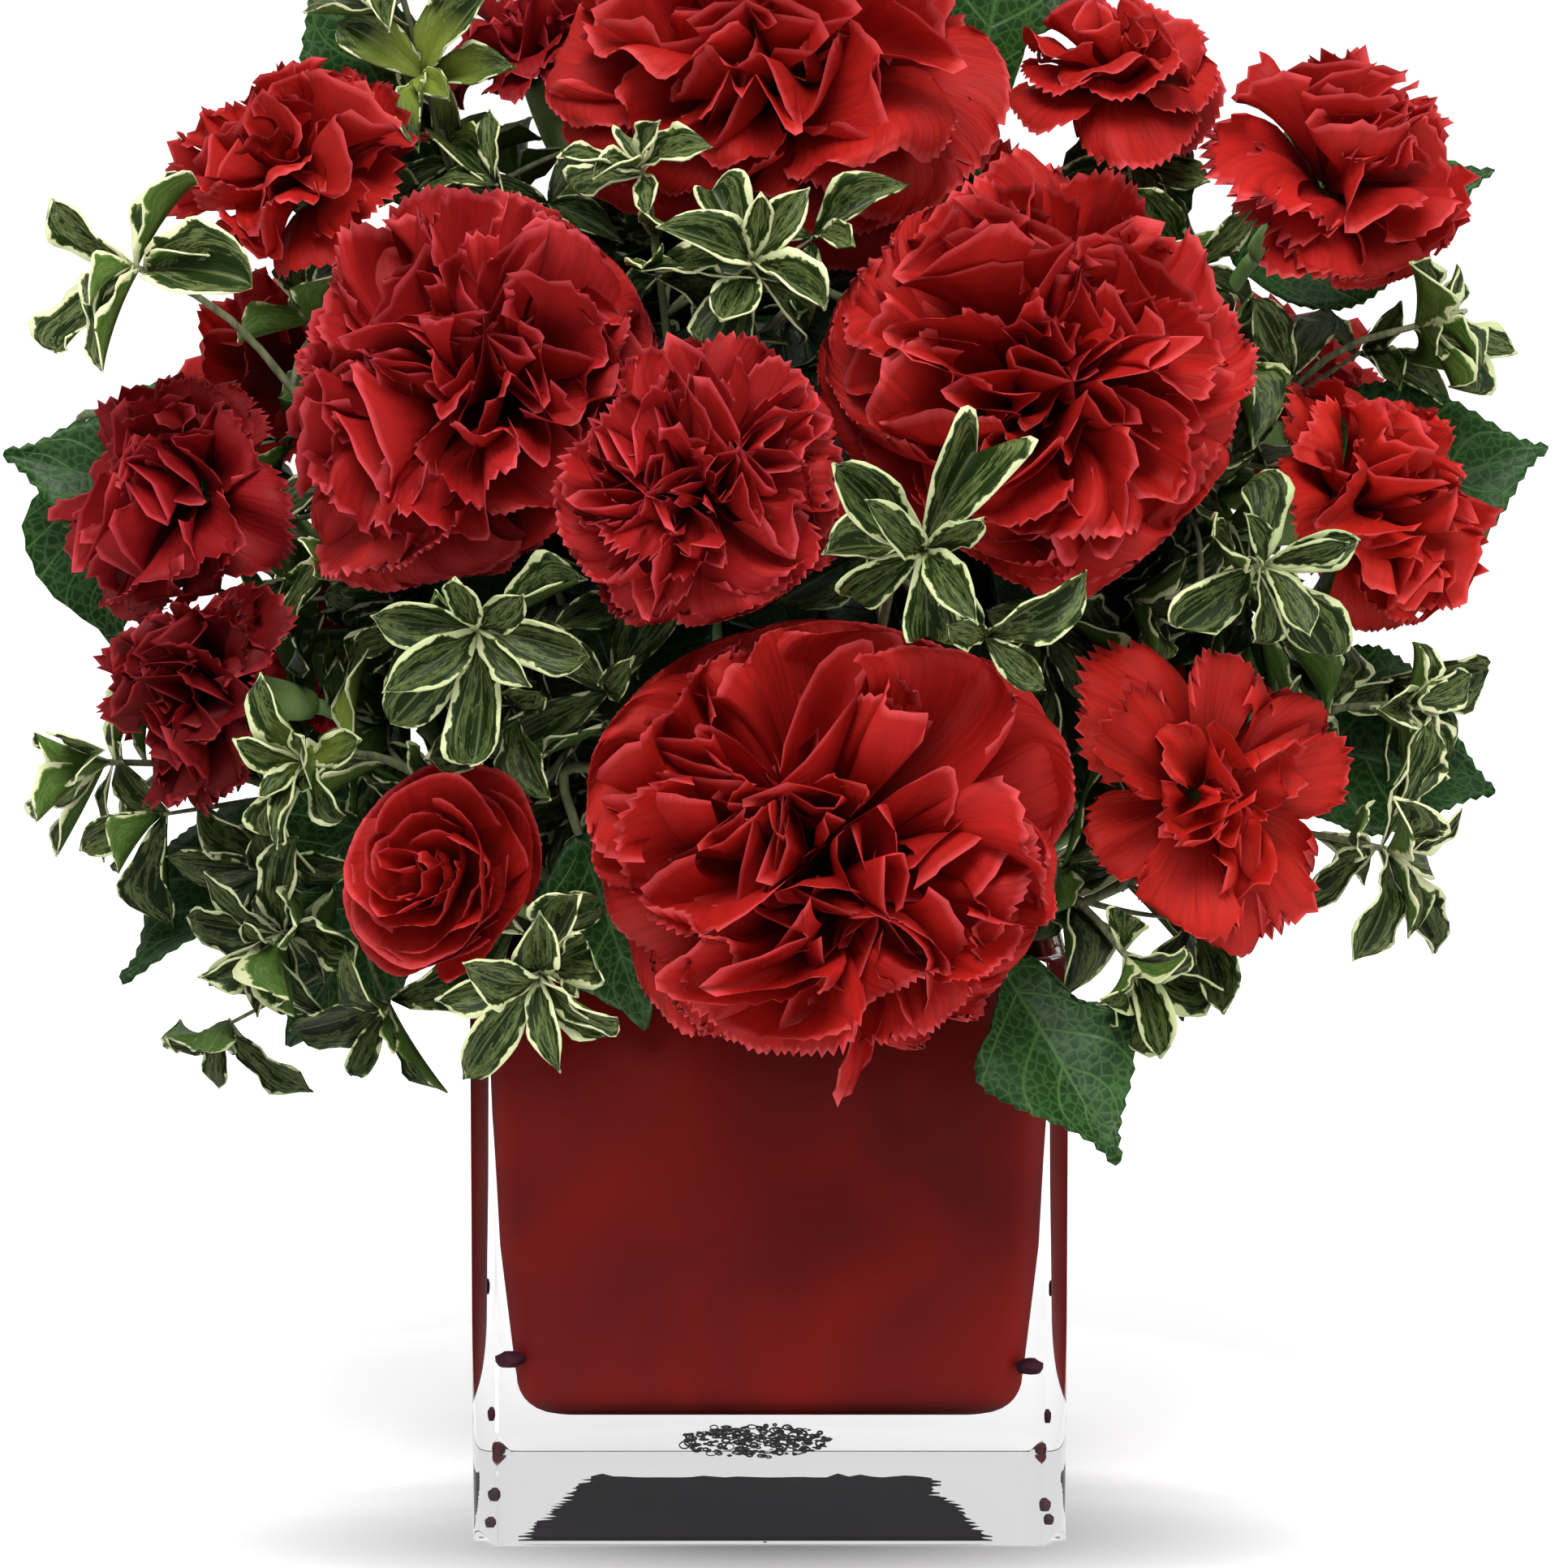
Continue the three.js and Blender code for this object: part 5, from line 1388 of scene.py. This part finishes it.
def whorl_sheets(whorl, seed, leaves, grid=LEAF_GRID):
    """The leaves round a twig's tip: the outer ones lie open and hang, the inner ones are half open."""
    u, w = across(whorl["axis"])
    for k in range(leaves):
        share = k / leaves
        own = seed + k * 1.37
        turn = k * GOLDEN_TURN + seed + spread(own, 0.42)
        tilt = WHORL_OPEN - WHORL_CLOSES * share + spread(own + 0.3, 0.4)
        out = u * math.cos(turn) + w * math.sin(turn)
        hanging = np.array([0, 0, -WHORL_HANGS])
        axis = unit(whorl["axis"] * math.cos(tilt) + out * math.sin(tilt) + hanging)
        up = whorl["axis"] * math.sin(tilt) - out * math.cos(tilt)
        length = whorl["radius"] * (WHORL_LONGEST - WHORL_SHORTENS * share)
        length *= 1 + spread(own + 0.6, 0.26)
        hub = whorl["centre"] + whorl["axis"] * (share - 0.5) * 0.2 * whorl["radius"]
        width = length * (WHORL_LEAF_WIDTH + spread(own + 0.9, 0.035))
        yield leaf_sheet(hub, axis, up, length, width, own, grid)


def meets_bloom(points, share=BLOOM_ROOM):
    """Whether a leaf or a stalk would stand in a bloom, or in the glass of the vase."""
    for bloom in blooms.values():
        arms = points - bloom["centre"]
        near = np.linalg.norm(arms, axis=-1) < share * bloom["radius"]
        if (near & (arms @ bloom["axis"] > -0.5 * bloom["radius"])).any():
            return True
    in_vase = np.abs(points[..., :2]).max(-1) < VASE_SIDE / 2 + GLASS_ROOM
    return bool((in_vase & (points[..., 2] < VASE_HEIGHT + GLASS_ROOM)).any())


def twig_sheets(path, seed):
    """Leaves along a twig below its whorl, where no bloom is in their way."""
    line = smoothed(path)
    ahead = unit(path[0] - path[-1])
    u, w = across(ahead)
    whole = lengths_along(line)[-1]
    for k, gone in enumerate(np.arange(TWIG_LEAF_SPACING, whole, TWIG_LEAF_SPACING)):
        root = points_along(line, gone)
        if root[2] < TWIG_LEAVES_ABOVE and max(abs(root[0]), abs(root[1])) < VASE_SIDE / 2:
            continue
        turn = k * GOLDEN_TURN + seed
        out = u * math.cos(turn) + w * math.sin(turn)
        axis = unit(ahead * 0.6 + out)
        length = TWIG_LEAF_LENGTH * (1 + spread(seed + k, 0.25))
        points, place = leaf_sheet(root, axis, ahead - out * 0.3, length, 0.24 * length, seed + k * 0.7)
        if not meets_bloom(points):
            yield points, place


# The bunch is about a ball with these half widths. Shade is painted on the leaves inside it, and on the
# low ones, but for those at its front.
BUNCH_MIDDLE = np.array([0, -2, 178])
BUNCH_REACH = np.array([118, 90, 108])
SHADE_FROM = 0.95
SHADE_TO = 0.6
UNDER_BLOOMS = 150
UNDER_FADE = 60
UNDER_SHADE = 0.5
LIT_FRONT = -75
LIT_FADE = 25
DUSK = (0.22, 0.24, 0.24)


def depth_inside(points):
    """How much painted shade points get: from 0 at the bunch's outside to 1 well inside, and some when low.
    """
    out = np.linalg.norm((points - BUNCH_MIDDLE) / BUNCH_REACH, axis=-1)
    inside = np.clip((SHADE_FROM - out) / (SHADE_FROM - SHADE_TO), 0, 1)
    under = np.clip((UNDER_BLOOMS - points[:, 2]) / UNDER_FADE, 0, UNDER_SHADE)
    return np.maximum(inside, under * np.clip((points[:, 1] - LIT_FRONT) / LIT_FADE, 0, 1))


def with_painted_shade(tree, colour):
    """A leaf's colour with painted shade, darker the deeper it lies in the bunch."""
    dusk = ramp(tree, mark_of(tree, "depth")["Fac"], [(0.0, (1, 1, 1)), (1.0, DUSK)])
    return mixed(tree, 1.0, colour, dusk, "MULTIPLY")


def reckoned(tree, operation, first, second=None):
    """The outcome of one step of reckoning. The second value is a number, a socket or nothing."""
    step = tree.nodes.new("ShaderNodeMath")
    step.operation = operation
    tree.links.new(first, step.inputs[0])
    if isinstance(second, float):
        step.inputs[1].default_value = second
    elif second is not None:
        tree.links.new(second, step.inputs[1])
    return step.outputs[0]


def sum_of(tree, first, first_share, second, second_share):
    """Two values added, each in its share."""
    first = reckoned(tree, "MULTIPLY", first, first_share)
    second = reckoned(tree, "MULTIPLY", second, second_share)
    return reckoned(tree, "ADD", first, second)


CREAM = (0.66, 0.68, 0.4)
# Where the young leaves are, in metres.
YOUNG_LEAVES = [(-0.067, -0.006, 0.279), (-0.082, -0.058, 0.158)]
YOUNG_GREEN = (0.26, 0.32, 0.045)
YOUNG_FADE = [(0.01, (0.8, 0.8, 0.8)), (0.014, (0, 0, 0))]


def leaf_material(name, edge, middle, patch, rib):
    """A variegated leaf: cream at its rim, then a band of its edge colour, and patches in its middle."""
    material, tree, shader = shader_of(name)
    place, where = mark_of(tree, "leaf")["Vector"], place_of(tree)
    parts = parts_of(tree, place)
    streaks = noise_at(tree, stretched(tree, place, (3.2, 2.0, 0.7)), 1.9, 5)
    depth = sum_of(tree, parts["Z"], 0.13, streaks, 1.1)
    body = ramp(tree, depth, [(0.7, middle), (0.84, patch), (0.92, middle), (1.0, patch), (1.06, middle)])
    for young_leaf in YOUNG_LEAVES:
        away = tree.nodes.new("ShaderNodeVectorMath")
        away.operation = "DISTANCE"
        away.inputs[1].default_value = young_leaf
        tree.links.new(where, away.inputs[0])
        body = mixed(tree, ramp(tree, away.outputs["Value"], YOUNG_FADE), body, YOUNG_GREEN)
    inward = sum_of(tree, parts["Z"], 0.3, noise_at(tree, where, 260, 3), 0.95)
    margin = ramp(tree, inward, [(0.62, CREAM), (0.66, edge)])
    inside = ramp(tree, inward, [(0.66, (0, 0, 0)), (0.74, (1, 1, 1))])
    whole = mixed(tree, inside, margin, body)
    on_rib = ramp(tree, reckoned(tree, "ABSOLUTE", parts["X"]), [(0.0, (0.6, 0.6, 0.6)), (0.07, (0, 0, 0))])
    ribbed = mixed(tree, on_rib, whole, rib)
    tone = ramp(tree, noise_at(tree, where, 14, 1), [(0.35, (0.55, 0.6, 0.5)), (0.65, (1, 1, 1))])
    # The leaf is darkened by painted shade where it lies deep in the bunch or low.
    finished(tree, shader, with_painted_shade(tree, mixed(tree, 1.0, ribbed, tone, "MULTIPLY")), 0.45, 0.16)
    raised(tree, shader, streaks, 0.0006, 0.5)
    return material


def leaves_piece(plant, ending, sheets, materials):
    """A piece of leaves, each with a real thickness and with its underside in the second material."""
    made = sheets_piece(plant["node"] + ending, sheets, materials, plant["node"], "leaf")
    marked(made, "depth", depth_inside(np.concatenate([points.reshape(-1, 3) for points, _ in sheets])))
    solid = made.modifiers.new("thickness", "SOLIDIFY")
    solid.thickness = LEAF_THICKNESS * 0.001
    solid.offset = -1
    solid.material_offset = 1
    return made


def wood_mesh(path, radius, thinnest):
    """A woody stalk that thins towards its tip."""
    line = smoothed(path)
    radii = np.linspace(thinnest, 1, len(line)) * radius
    return rings_mesh(tube_rings(line, radii, WOOD_SIDES))


variegated = leaf_material(
    "variegated leaf",
    edge=(0.08, 0.11, 0.018),
    middle=(0.012, 0.026, 0.004),
    patch=(0.135, 0.165, 0.055),
    rib=(0.19, 0.22, 0.07),
)
variegated_below = leaf_material(
    "leaf underside",
    edge=(0.2, 0.28, 0.08),
    middle=(0.06, 0.12, 0.02),
    patch=(0.11, 0.18, 0.045),
    rib=(0.2, 0.27, 0.09),
)
bark, bark_tree, bark_shader = shader_of("twig bark")
bark_grain = noise_at(bark_tree, stretched(bark_tree, place_of(bark_tree), (1, 1, 0.25)), 700, 4)
bark_stops = [(0.3, (0.05, 0.06, 0.025)), (0.7, (0.16, 0.17, 0.08))]
finished(bark_tree, bark_shader, ramp(bark_tree, bark_grain, bark_stops), 0.8)

# The side shoots fill the gaps between the blooms. A few have their own place. The rest are tried all
# round the bunch, and stand where they have room and a twig is near.
SHOOTS_TRIED = 440
SHOOTS_DOWN_TO = 1.55
SHOOT_LEAVES = 6
SHOOT_LEAST_LEAVES = 3
SHOOT_GRID = (10, 7)
SHOOT_SIZE = 20
SHOOT_GAP = 18
SHOOT_LONGEST = 85
SHOOT_BEND = 0.1
SHOOT_THICKNESS = 0.6
# By how many millimetres the cream rim of a shoot's leaves is narrower.
SHOOT_MARGIN_LESS = 0.5
# How far above its tip a placed shoot may leave its twig, and another one.
PLACED_SHOOT_HANGS = 25
SHOOT_HANGS = 10
# Shoots leave their twig well inside the bunch, and the part next to their tip is clear of all blooms.
STALK_WITHIN = 0.9
STALK_ROOM = 0.9
STALK_OUTER_PART = 10
# Each placed shoot is its tip, the way it faces and its size.
PLACED_SHOOTS = [
    ((-67, -6, 279), (-0.3, -0.8, 0.5), 20),
    ((-62, 10, 262), (-0.2, -0.8, 0.4), 19),
    ((-52, 12, 271), (-0.2, -0.8, 0.4), 18),
    ((-43, -2, 254), (0, -0.9, 0.4), 18),
    ((-49, 14, 268), (0, -0.8, 0.5), 17),
    ((71, 12, 262), (0.1, -0.8, 0.4), 19),
    ((64, 6, 252), (0.1, -0.9, 0.3), 18),
    ((83, -2, 242), (0.2, -0.9, 0.2), 19),
    ((87, 0, 256), (0.2, -0.8, 0.5), 17),
    ((-97, -14, 216), (-0.4, -0.8, 0.2), 19),
    ((-97, -34, 187), (-0.5, -0.8, 0.1), 18),
    ((-117, -30, 138), (-0.7, -0.7, 0), 20),
    ((-121, -26, 124), (-0.7, -0.6, -0.3), 19),
    ((-104, -50, 100), (-0.4, -0.6, -0.6), 18),
    ((-72, -62, 106), (-0.3, -0.7, -0.6), 19),
    ((62, -60, 126), (0.3, -0.9, -0.1), 18),
    ((80, -58, 122), (0.4, -0.8, -0.4), 18),
    ((116, 2, 225), (0.3, -0.8, 0.4), 19),
    ((106, 4, 212), (0.2, -0.9, 0), 18),
    ((121, -8, 161), (0.5, -0.8, -0.1), 20),
    ((-94, -34, 129), (-0.3, -0.8, -0.1), 19),
    ((-82, -47, 121), (-0.2, -0.9, 0), 18),
    ((-46, -68, 121), (-0.1, -0.9, 0.3), 17),
    ((-82, -58, 158), (0, -0.9, 0.3), 16),
    ((39, -103, 181), (0.3, -0.9, -0.2), 17),
    ((101, -18, 222), (0.1, -0.9, 0.3), 17),
]


def ways_out(count, down_to, start=0):
    """Directions spread evenly over a ball, from its top down. A whole ball goes down to 2."""
    for k in range(count):
        rise = 1 - down_to * (k + 0.5) / count
        ring = math.sqrt(1 - rise**2)
        turn = k * GOLDEN_TURN + start
        yield np.array([ring * math.cos(turn), ring * math.sin(turn), rise])


def nearest_stalk(at, own_plants, hangs):
    """The nearest place on some plants' stems for a side shoot: how far it is, its plant and its point."""
    nearest = None
    for plant in own_plants:
        for path in plant["paths"]:
            for point in smoothed(path):
                length = np.linalg.norm(point - at)
                inner = np.linalg.norm((point - BUNCH_MIDDLE) / BUNCH_REACH) < STALK_WITHIN
                if inner and point[2] < at[2] + hangs and (nearest is None or length < nearest[0]):
                    nearest = (length, plant, point)
    return nearest


twig_plants = [plant for plant in plants if "whorls" in plant]
taken = [whorl["centre"] for plant in twig_plants for whorl in plant["whorls"]]
wanted_shoots = [
    (np.array(at, float), unit(face), size, PLACED_SHOOT_HANGS)
    for at, face, size in PLACED_SHOOTS
]
for k, way in enumerate(ways_out(SHOOTS_TRIED, SHOOTS_DOWN_TO)):
    tip = BUNCH_MIDDLE + BUNCH_REACH * way * (0.6 + 0.3 * draw(k + 0.5))
    size = SHOOT_SIZE * (1 + spread(k + 0.7, 0.2))
    wanted_shoots.append((tip, unit(way / BUNCH_REACH), size, SHOOT_HANGS))
shoots = []
for k, (tip, axis, size, hangs) in enumerate(wanted_shoots):
    if any(np.linalg.norm(tip - other) < SHOOT_GAP for other in taken):
        continue
    nearest = nearest_stalk(tip, twig_plants, hangs)
    if nearest is None or nearest[0] > SHOOT_LONGEST:
        continue
    length, plant, start = nearest
    path = [tip, (tip + start) / 2 + axis * SHOOT_BEND * length, start]
    whorl = {"centre": tip, "axis": axis, "radius": size}
    leaves = [
        (points, place + (0, 0, SHOOT_MARGIN_LESS))
        for points, place in whorl_sheets(whorl, k * 2.3, SHOOT_LEAVES, SHOOT_GRID)
        if not meets_bloom(points)
    ]
    if len(leaves) < SHOOT_LEAST_LEAVES or meets_bloom(smoothed(path)[:STALK_OUTER_PART], STALK_ROOM):
        continue
    taken.append(tip)
    shoots.append({"plant": plant, "path": path, "leaves": leaves})

for order, plant in enumerate(plants):
    if "whorls" not in plant:
        continue
    leaves = []
    for k, (whorl, path) in enumerate(zip(plant["whorls"], plant["paths"])):
        cell = cell_of(whorl, plant)
        seed = order * 3 + k * 1.7
        count = WHORL_LEAVES
        if whorl["radius"] > LARGE_WHORL:
            count = LARGE_WHORL_LEAVES
            whorl["radius"] *= LARGE_WHORL_SHARE
        leaves += [(pressed(points, cell), place) for points, place in whorl_sheets(whorl, seed, count)]
        leaves += twig_sheets(path, seed)
    tubes = [wood_mesh(path, TWIG_RADIUS, TWIG_THINNEST) for path in plant["paths"]]
    for shoot in shoots:
        if shoot["plant"] is plant:
            leaves += shoot["leaves"]
            tubes.append(wood_mesh(shoot["path"], TWIG_RADIUS * SHOOT_THICKNESS, TWIG_THINNEST))
    leafy = leaves_piece(plant, "_leaves", leaves, [variegated, variegated_below])
    twig = piece(plant["node"] + "_twig", *joined(tubes), [bark], [plant["node"]])

# The lemon leaf is a branch of broad, dark, leathery leaves, with smaller ones inside the bouquet.
# Each has a drawn-out tip, a finely toothed edge and sunken, paler veins that leave the rib in pairs.
BROAD_ROWS = 45
BROAD_COLUMNS = 13
# How wide a leaf is at some places along it, as a share of its width on each side of the rib.
BROAD_OUTLINE_T = [0, 0.05, 0.17, 0.3, 0.44, 0.6, 0.76, 0.9, 1]
BROAD_OUTLINE_W = [0.0, 0.16, 0.37, 0.48, 0.5, 0.43, 0.25, 0.065, 0.0]
BROAD_SMOOTHING = [0.1, 0.2, 0.4, 0.2, 0.1]
BROAD_TOOTH = 0.02
# A broad leaf folds along its rib, droops, waves and swells between its veins by shares of its length.
BROAD_FOLD = 0.12
BROAD_DROOP = 0.12
BROAD_WAVE = 0.02
BROAD_SWELL = 0.008
SIDE_VEINS = 6.5
SIDE_VEINS_SLANT = 0.28
NET_SCALE = 500
STALK_THINNEST = 0.7


def broad_sheet(leaf, seed, cell, rows=BROAD_ROWS):
    """A lemon leaf as a grid of points, and for each its place across, along and its outline."""
    axis = leaf["axis"]
    length = np.linalg.norm(leaf["tip"] - leaf["base"])
    side = unit(np.cross(axis, leaf["face"]))
    up = np.cross(side, axis)
    t = np.linspace(0, 1, rows)[:, None]
    s = np.linspace(-1, 1, BROAD_COLUMNS)[None, :]
    outline = np.interp(t, BROAD_OUTLINE_T, BROAD_OUTLINE_W)
    outline = np.convolve(np.pad(outline[:, 0], 2, mode="edge"), BROAD_SMOOTHING, "valid")[:, None]
    tooth = BROAD_TOOTH * (np.arange(rows) % 2)[:, None] * np.clip(np.abs(s) * 6 - 5, 0, 1) * np.sign(s)
    sideways = (s * outline + tooth) * leaf["width"]
    wave = BROAD_WAVE * np.sin(t * 14 + draw(seed) * TURN + np.sign(s)) * s**2
    along_veins = (t - SIDE_VEINS_SLANT * np.abs(s)) * SIDE_VEINS * TURN
    swell = -BROAD_SWELL * np.cos(along_veins) * np.abs(s) * (1 - s**2)
    lift = BROAD_FOLD * np.abs(s) * outline * 2 - BROAD_DROOP * t**2 + wave + swell
    points = leaf["base"] + axis * (t * length)[..., None] * np.ones_like(s)[..., None]
    points = points + side * sideways[..., None] + up * (lift * length)[..., None]
    if cell:
        free = np.clip(2.5 * t - 1, 0, 1)[..., None]
        points = pressed(points, cell) * (1 - free) + points * free
    return points, np.stack([s + 0 * t, t + 0 * s, outline + 0 * s], -1)


def vein_lines(tree, place):
    """How close a point is to the rib or to a side vein, from 1 on it to 0 between."""
    parts = parts_of(tree, place)
    out = reckoned(tree, "ABSOLUTE", parts["X"])
    slanted = sum_of(tree, parts["Y"], SIDE_VEINS, out, -SIDE_VEINS_SLANT * SIDE_VEINS)
    between = reckoned(tree, "PINGPONG", slanted, 0.5)
    side_veins = ramp(tree, between, [(0.0, (1, 1, 1)), (0.07, (0, 0, 0))])
    rib = ramp(tree, out, [(0.0, (1, 1, 1)), (0.035, (0, 0, 0))])
    return mixed(tree, 1.0, side_veins, rib, "LIGHTEN")


def lemon_leaf_material(name, green, darker, vein):
    """A mottled leathery leaf with a rib, side veins and a fine net of veins."""
    material, tree, shader = shader_of(name)
    where = place_of(tree)
    body = ramp(tree, noise_at(tree, where, 90, 4), [(0.3, darker), (0.7, green)])
    veins = vein_lines(tree, mark_of(tree, "leaf")["Vector"])
    net = tree.nodes.new("ShaderNodeTexVoronoi")
    net.feature = "DISTANCE_TO_EDGE"
    net.inputs["Scale"].default_value = NET_SCALE
    tree.links.new(where, net.inputs["Vector"])
    fine_veins = ramp(tree, net.outputs["Distance"], [(0.02, (0.5, 0.5, 0.5)), (0.14, (0, 0, 0))])
    netted = mixed(tree, fine_veins, body, vein)
    # The leaf is darkened by painted shade where it lies deep in the bunch or low.
    finished(tree, shader, with_painted_shade(tree, mixed(tree, veins, netted, vein)), 0.42, 0.2)
    raised(tree, shader, sum_of(tree, net.outputs["Distance"], 0.5, veins, -0.6), 0.0004, 0.6)
    return material


leathery = lemon_leaf_material(
    "lemon leaf",
    green=(0.01, 0.05, 0.006),
    darker=(0.005, 0.026, 0.003),
    vein=(0.05, 0.12, 0.03),
)
leathery_below = lemon_leaf_material(
    "lemon leaf underside",
    green=(0.03, 0.08, 0.02),
    darker=(0.018, 0.055, 0.014),
    vein=(0.08, 0.15, 0.05),
)

# The inner leaves fill the gaps deeper in the bunch. A few have their own place. The rest are tried all
# round, and stand where they have room and a branch is near.
INNER_TRIED = 300
INNER_DOWN_TO = 1.5
INNER_ROWS = 17
INNER_GAP = 18
INNER_LENGTH = 40
INNER_WIDTH = 27
INNER_LONGEST = 95
INNER_NECK = 0.3
# How much of an inner leaf is below its middle and above it.
INNER_BELOW = 0.45
INNER_ABOVE = 0.55
# How far above its base a placed leaf may leave its branch, and another one.
PLACED_INNER_HANGS = 40
INNER_HANGS = 15
# Each placed leaf is its middle, the way it grows and the way it faces.
PLACED_INNER = [
    ((104, -8, 228), (0.9, 0.1, 0.3), (0.1, -0.9, 0.4)),
    ((121, -6, 226), (0.8, 0.1, -0.3), (0.3, -0.9, 0.3)),
    ((-58, 22, 262), (-0.3, 0, 0.9), (0, -0.9, 0.4)),
    ((72, 24, 258), (0.4, 0, 0.9), (0, -0.9, 0.4)),
    ((-98, 2, 222), (-0.5, 0, 0.8), (-0.2, -0.9, 0.3)),
    ((-134, 10, 186), (0.1, 0, -0.9), (-0.3, -0.9, 0.1)),
    ((-102, -26, 117), (-0.85, 0, -0.5), (0, -0.9, 0.2)),
    ((-84, -30, 132), (-0.7, 0, -0.5), (0, -0.9, 0.2)),
    ((-82, -38, 112), (-0.5, 0, -0.8), (0, -0.9, 0.2)),
    ((-120, 14, 176), (0.4, 0, -0.9), (-0.2, -0.9, 0.1)),
    ((102, -6, 210), (0.2, 0, -0.9), (0.1, -0.9, 0.2)),
    ((-30, -64, 122), (0.3, 0, -0.9), (0, -0.9, 0.2)),
]

branch_plants = [plant for plant in plants if "leaves" in plant]
held = [leaf["centre"] for plant in branch_plants for leaf in plant["leaves"]]
wanted_leaves = [
    (np.array(at, float), unit(along), unit(face), PLACED_INNER_HANGS)
    for at, along, face in PLACED_INNER
]
for k, way in enumerate(ways_out(INNER_TRIED, INNER_DOWN_TO, 1)):
    middle = BUNCH_MIDDLE + BUNCH_REACH * way * (0.52 + 0.16 * draw(k + 0.25))
    face = unit(way / BUNCH_REACH)
    along = unit(np.array([spread(k + 0.1, 1), spread(k + 0.2, 1), 0.7]) + face * 0.2)
    wanted_leaves.append((middle, unit(along - face * (along @ face) * 0.8), face, INNER_HANGS))
inner_leaves = []
for k, (middle, along, face, hangs) in enumerate(wanted_leaves):
    if any(np.linalg.norm(middle - other) < INNER_GAP for other in held):
        continue
    base, tip = middle - along * INNER_LENGTH * INNER_BELOW, middle + along * INNER_LENGTH * INNER_ABOVE
    leaf = {"base": base, "tip": tip, "axis": along, "face": face, "width": INNER_WIDTH}
    points, place = broad_sheet(leaf, k, None, INNER_ROWS)
    nearest = nearest_stalk(base, branch_plants, hangs)
    if nearest is None or nearest[0] > INNER_LONGEST or meets_bloom(points):
        continue
    length, plant, start = nearest
    path = [base, base - along * length * INNER_NECK, start]
    if meets_bloom(smoothed(path)[:STALK_OUTER_PART], STALK_ROOM):
        continue
    held.append(middle)
    inner_leaves.append({"plant": plant, "path": path, "sheet": (points, place)})

for order, plant in enumerate(plants):
    if "leaves" not in plant:
        continue
    blades = []
    for k, leaf in enumerate(plant["leaves"]):
        blades.append(broad_sheet(leaf, order * 3 + k, cell_of(leaf, plant)))
    own_inner = [leaf for leaf in inner_leaves if leaf["plant"] is plant]
    blades += [leaf["sheet"] for leaf in own_inner]
    broad = leaves_piece(plant, "_blades", blades, [leathery, leathery_below])
    paths = plant["paths"] + [leaf["path"] for leaf in own_inner]
    tubes = [wood_mesh(path, STALK_RADIUS, STALK_THINNEST) for path in paths]
    stalk = piece(plant["node"] + "_stalk", *joined(tubes), [bark], [plant["node"]])
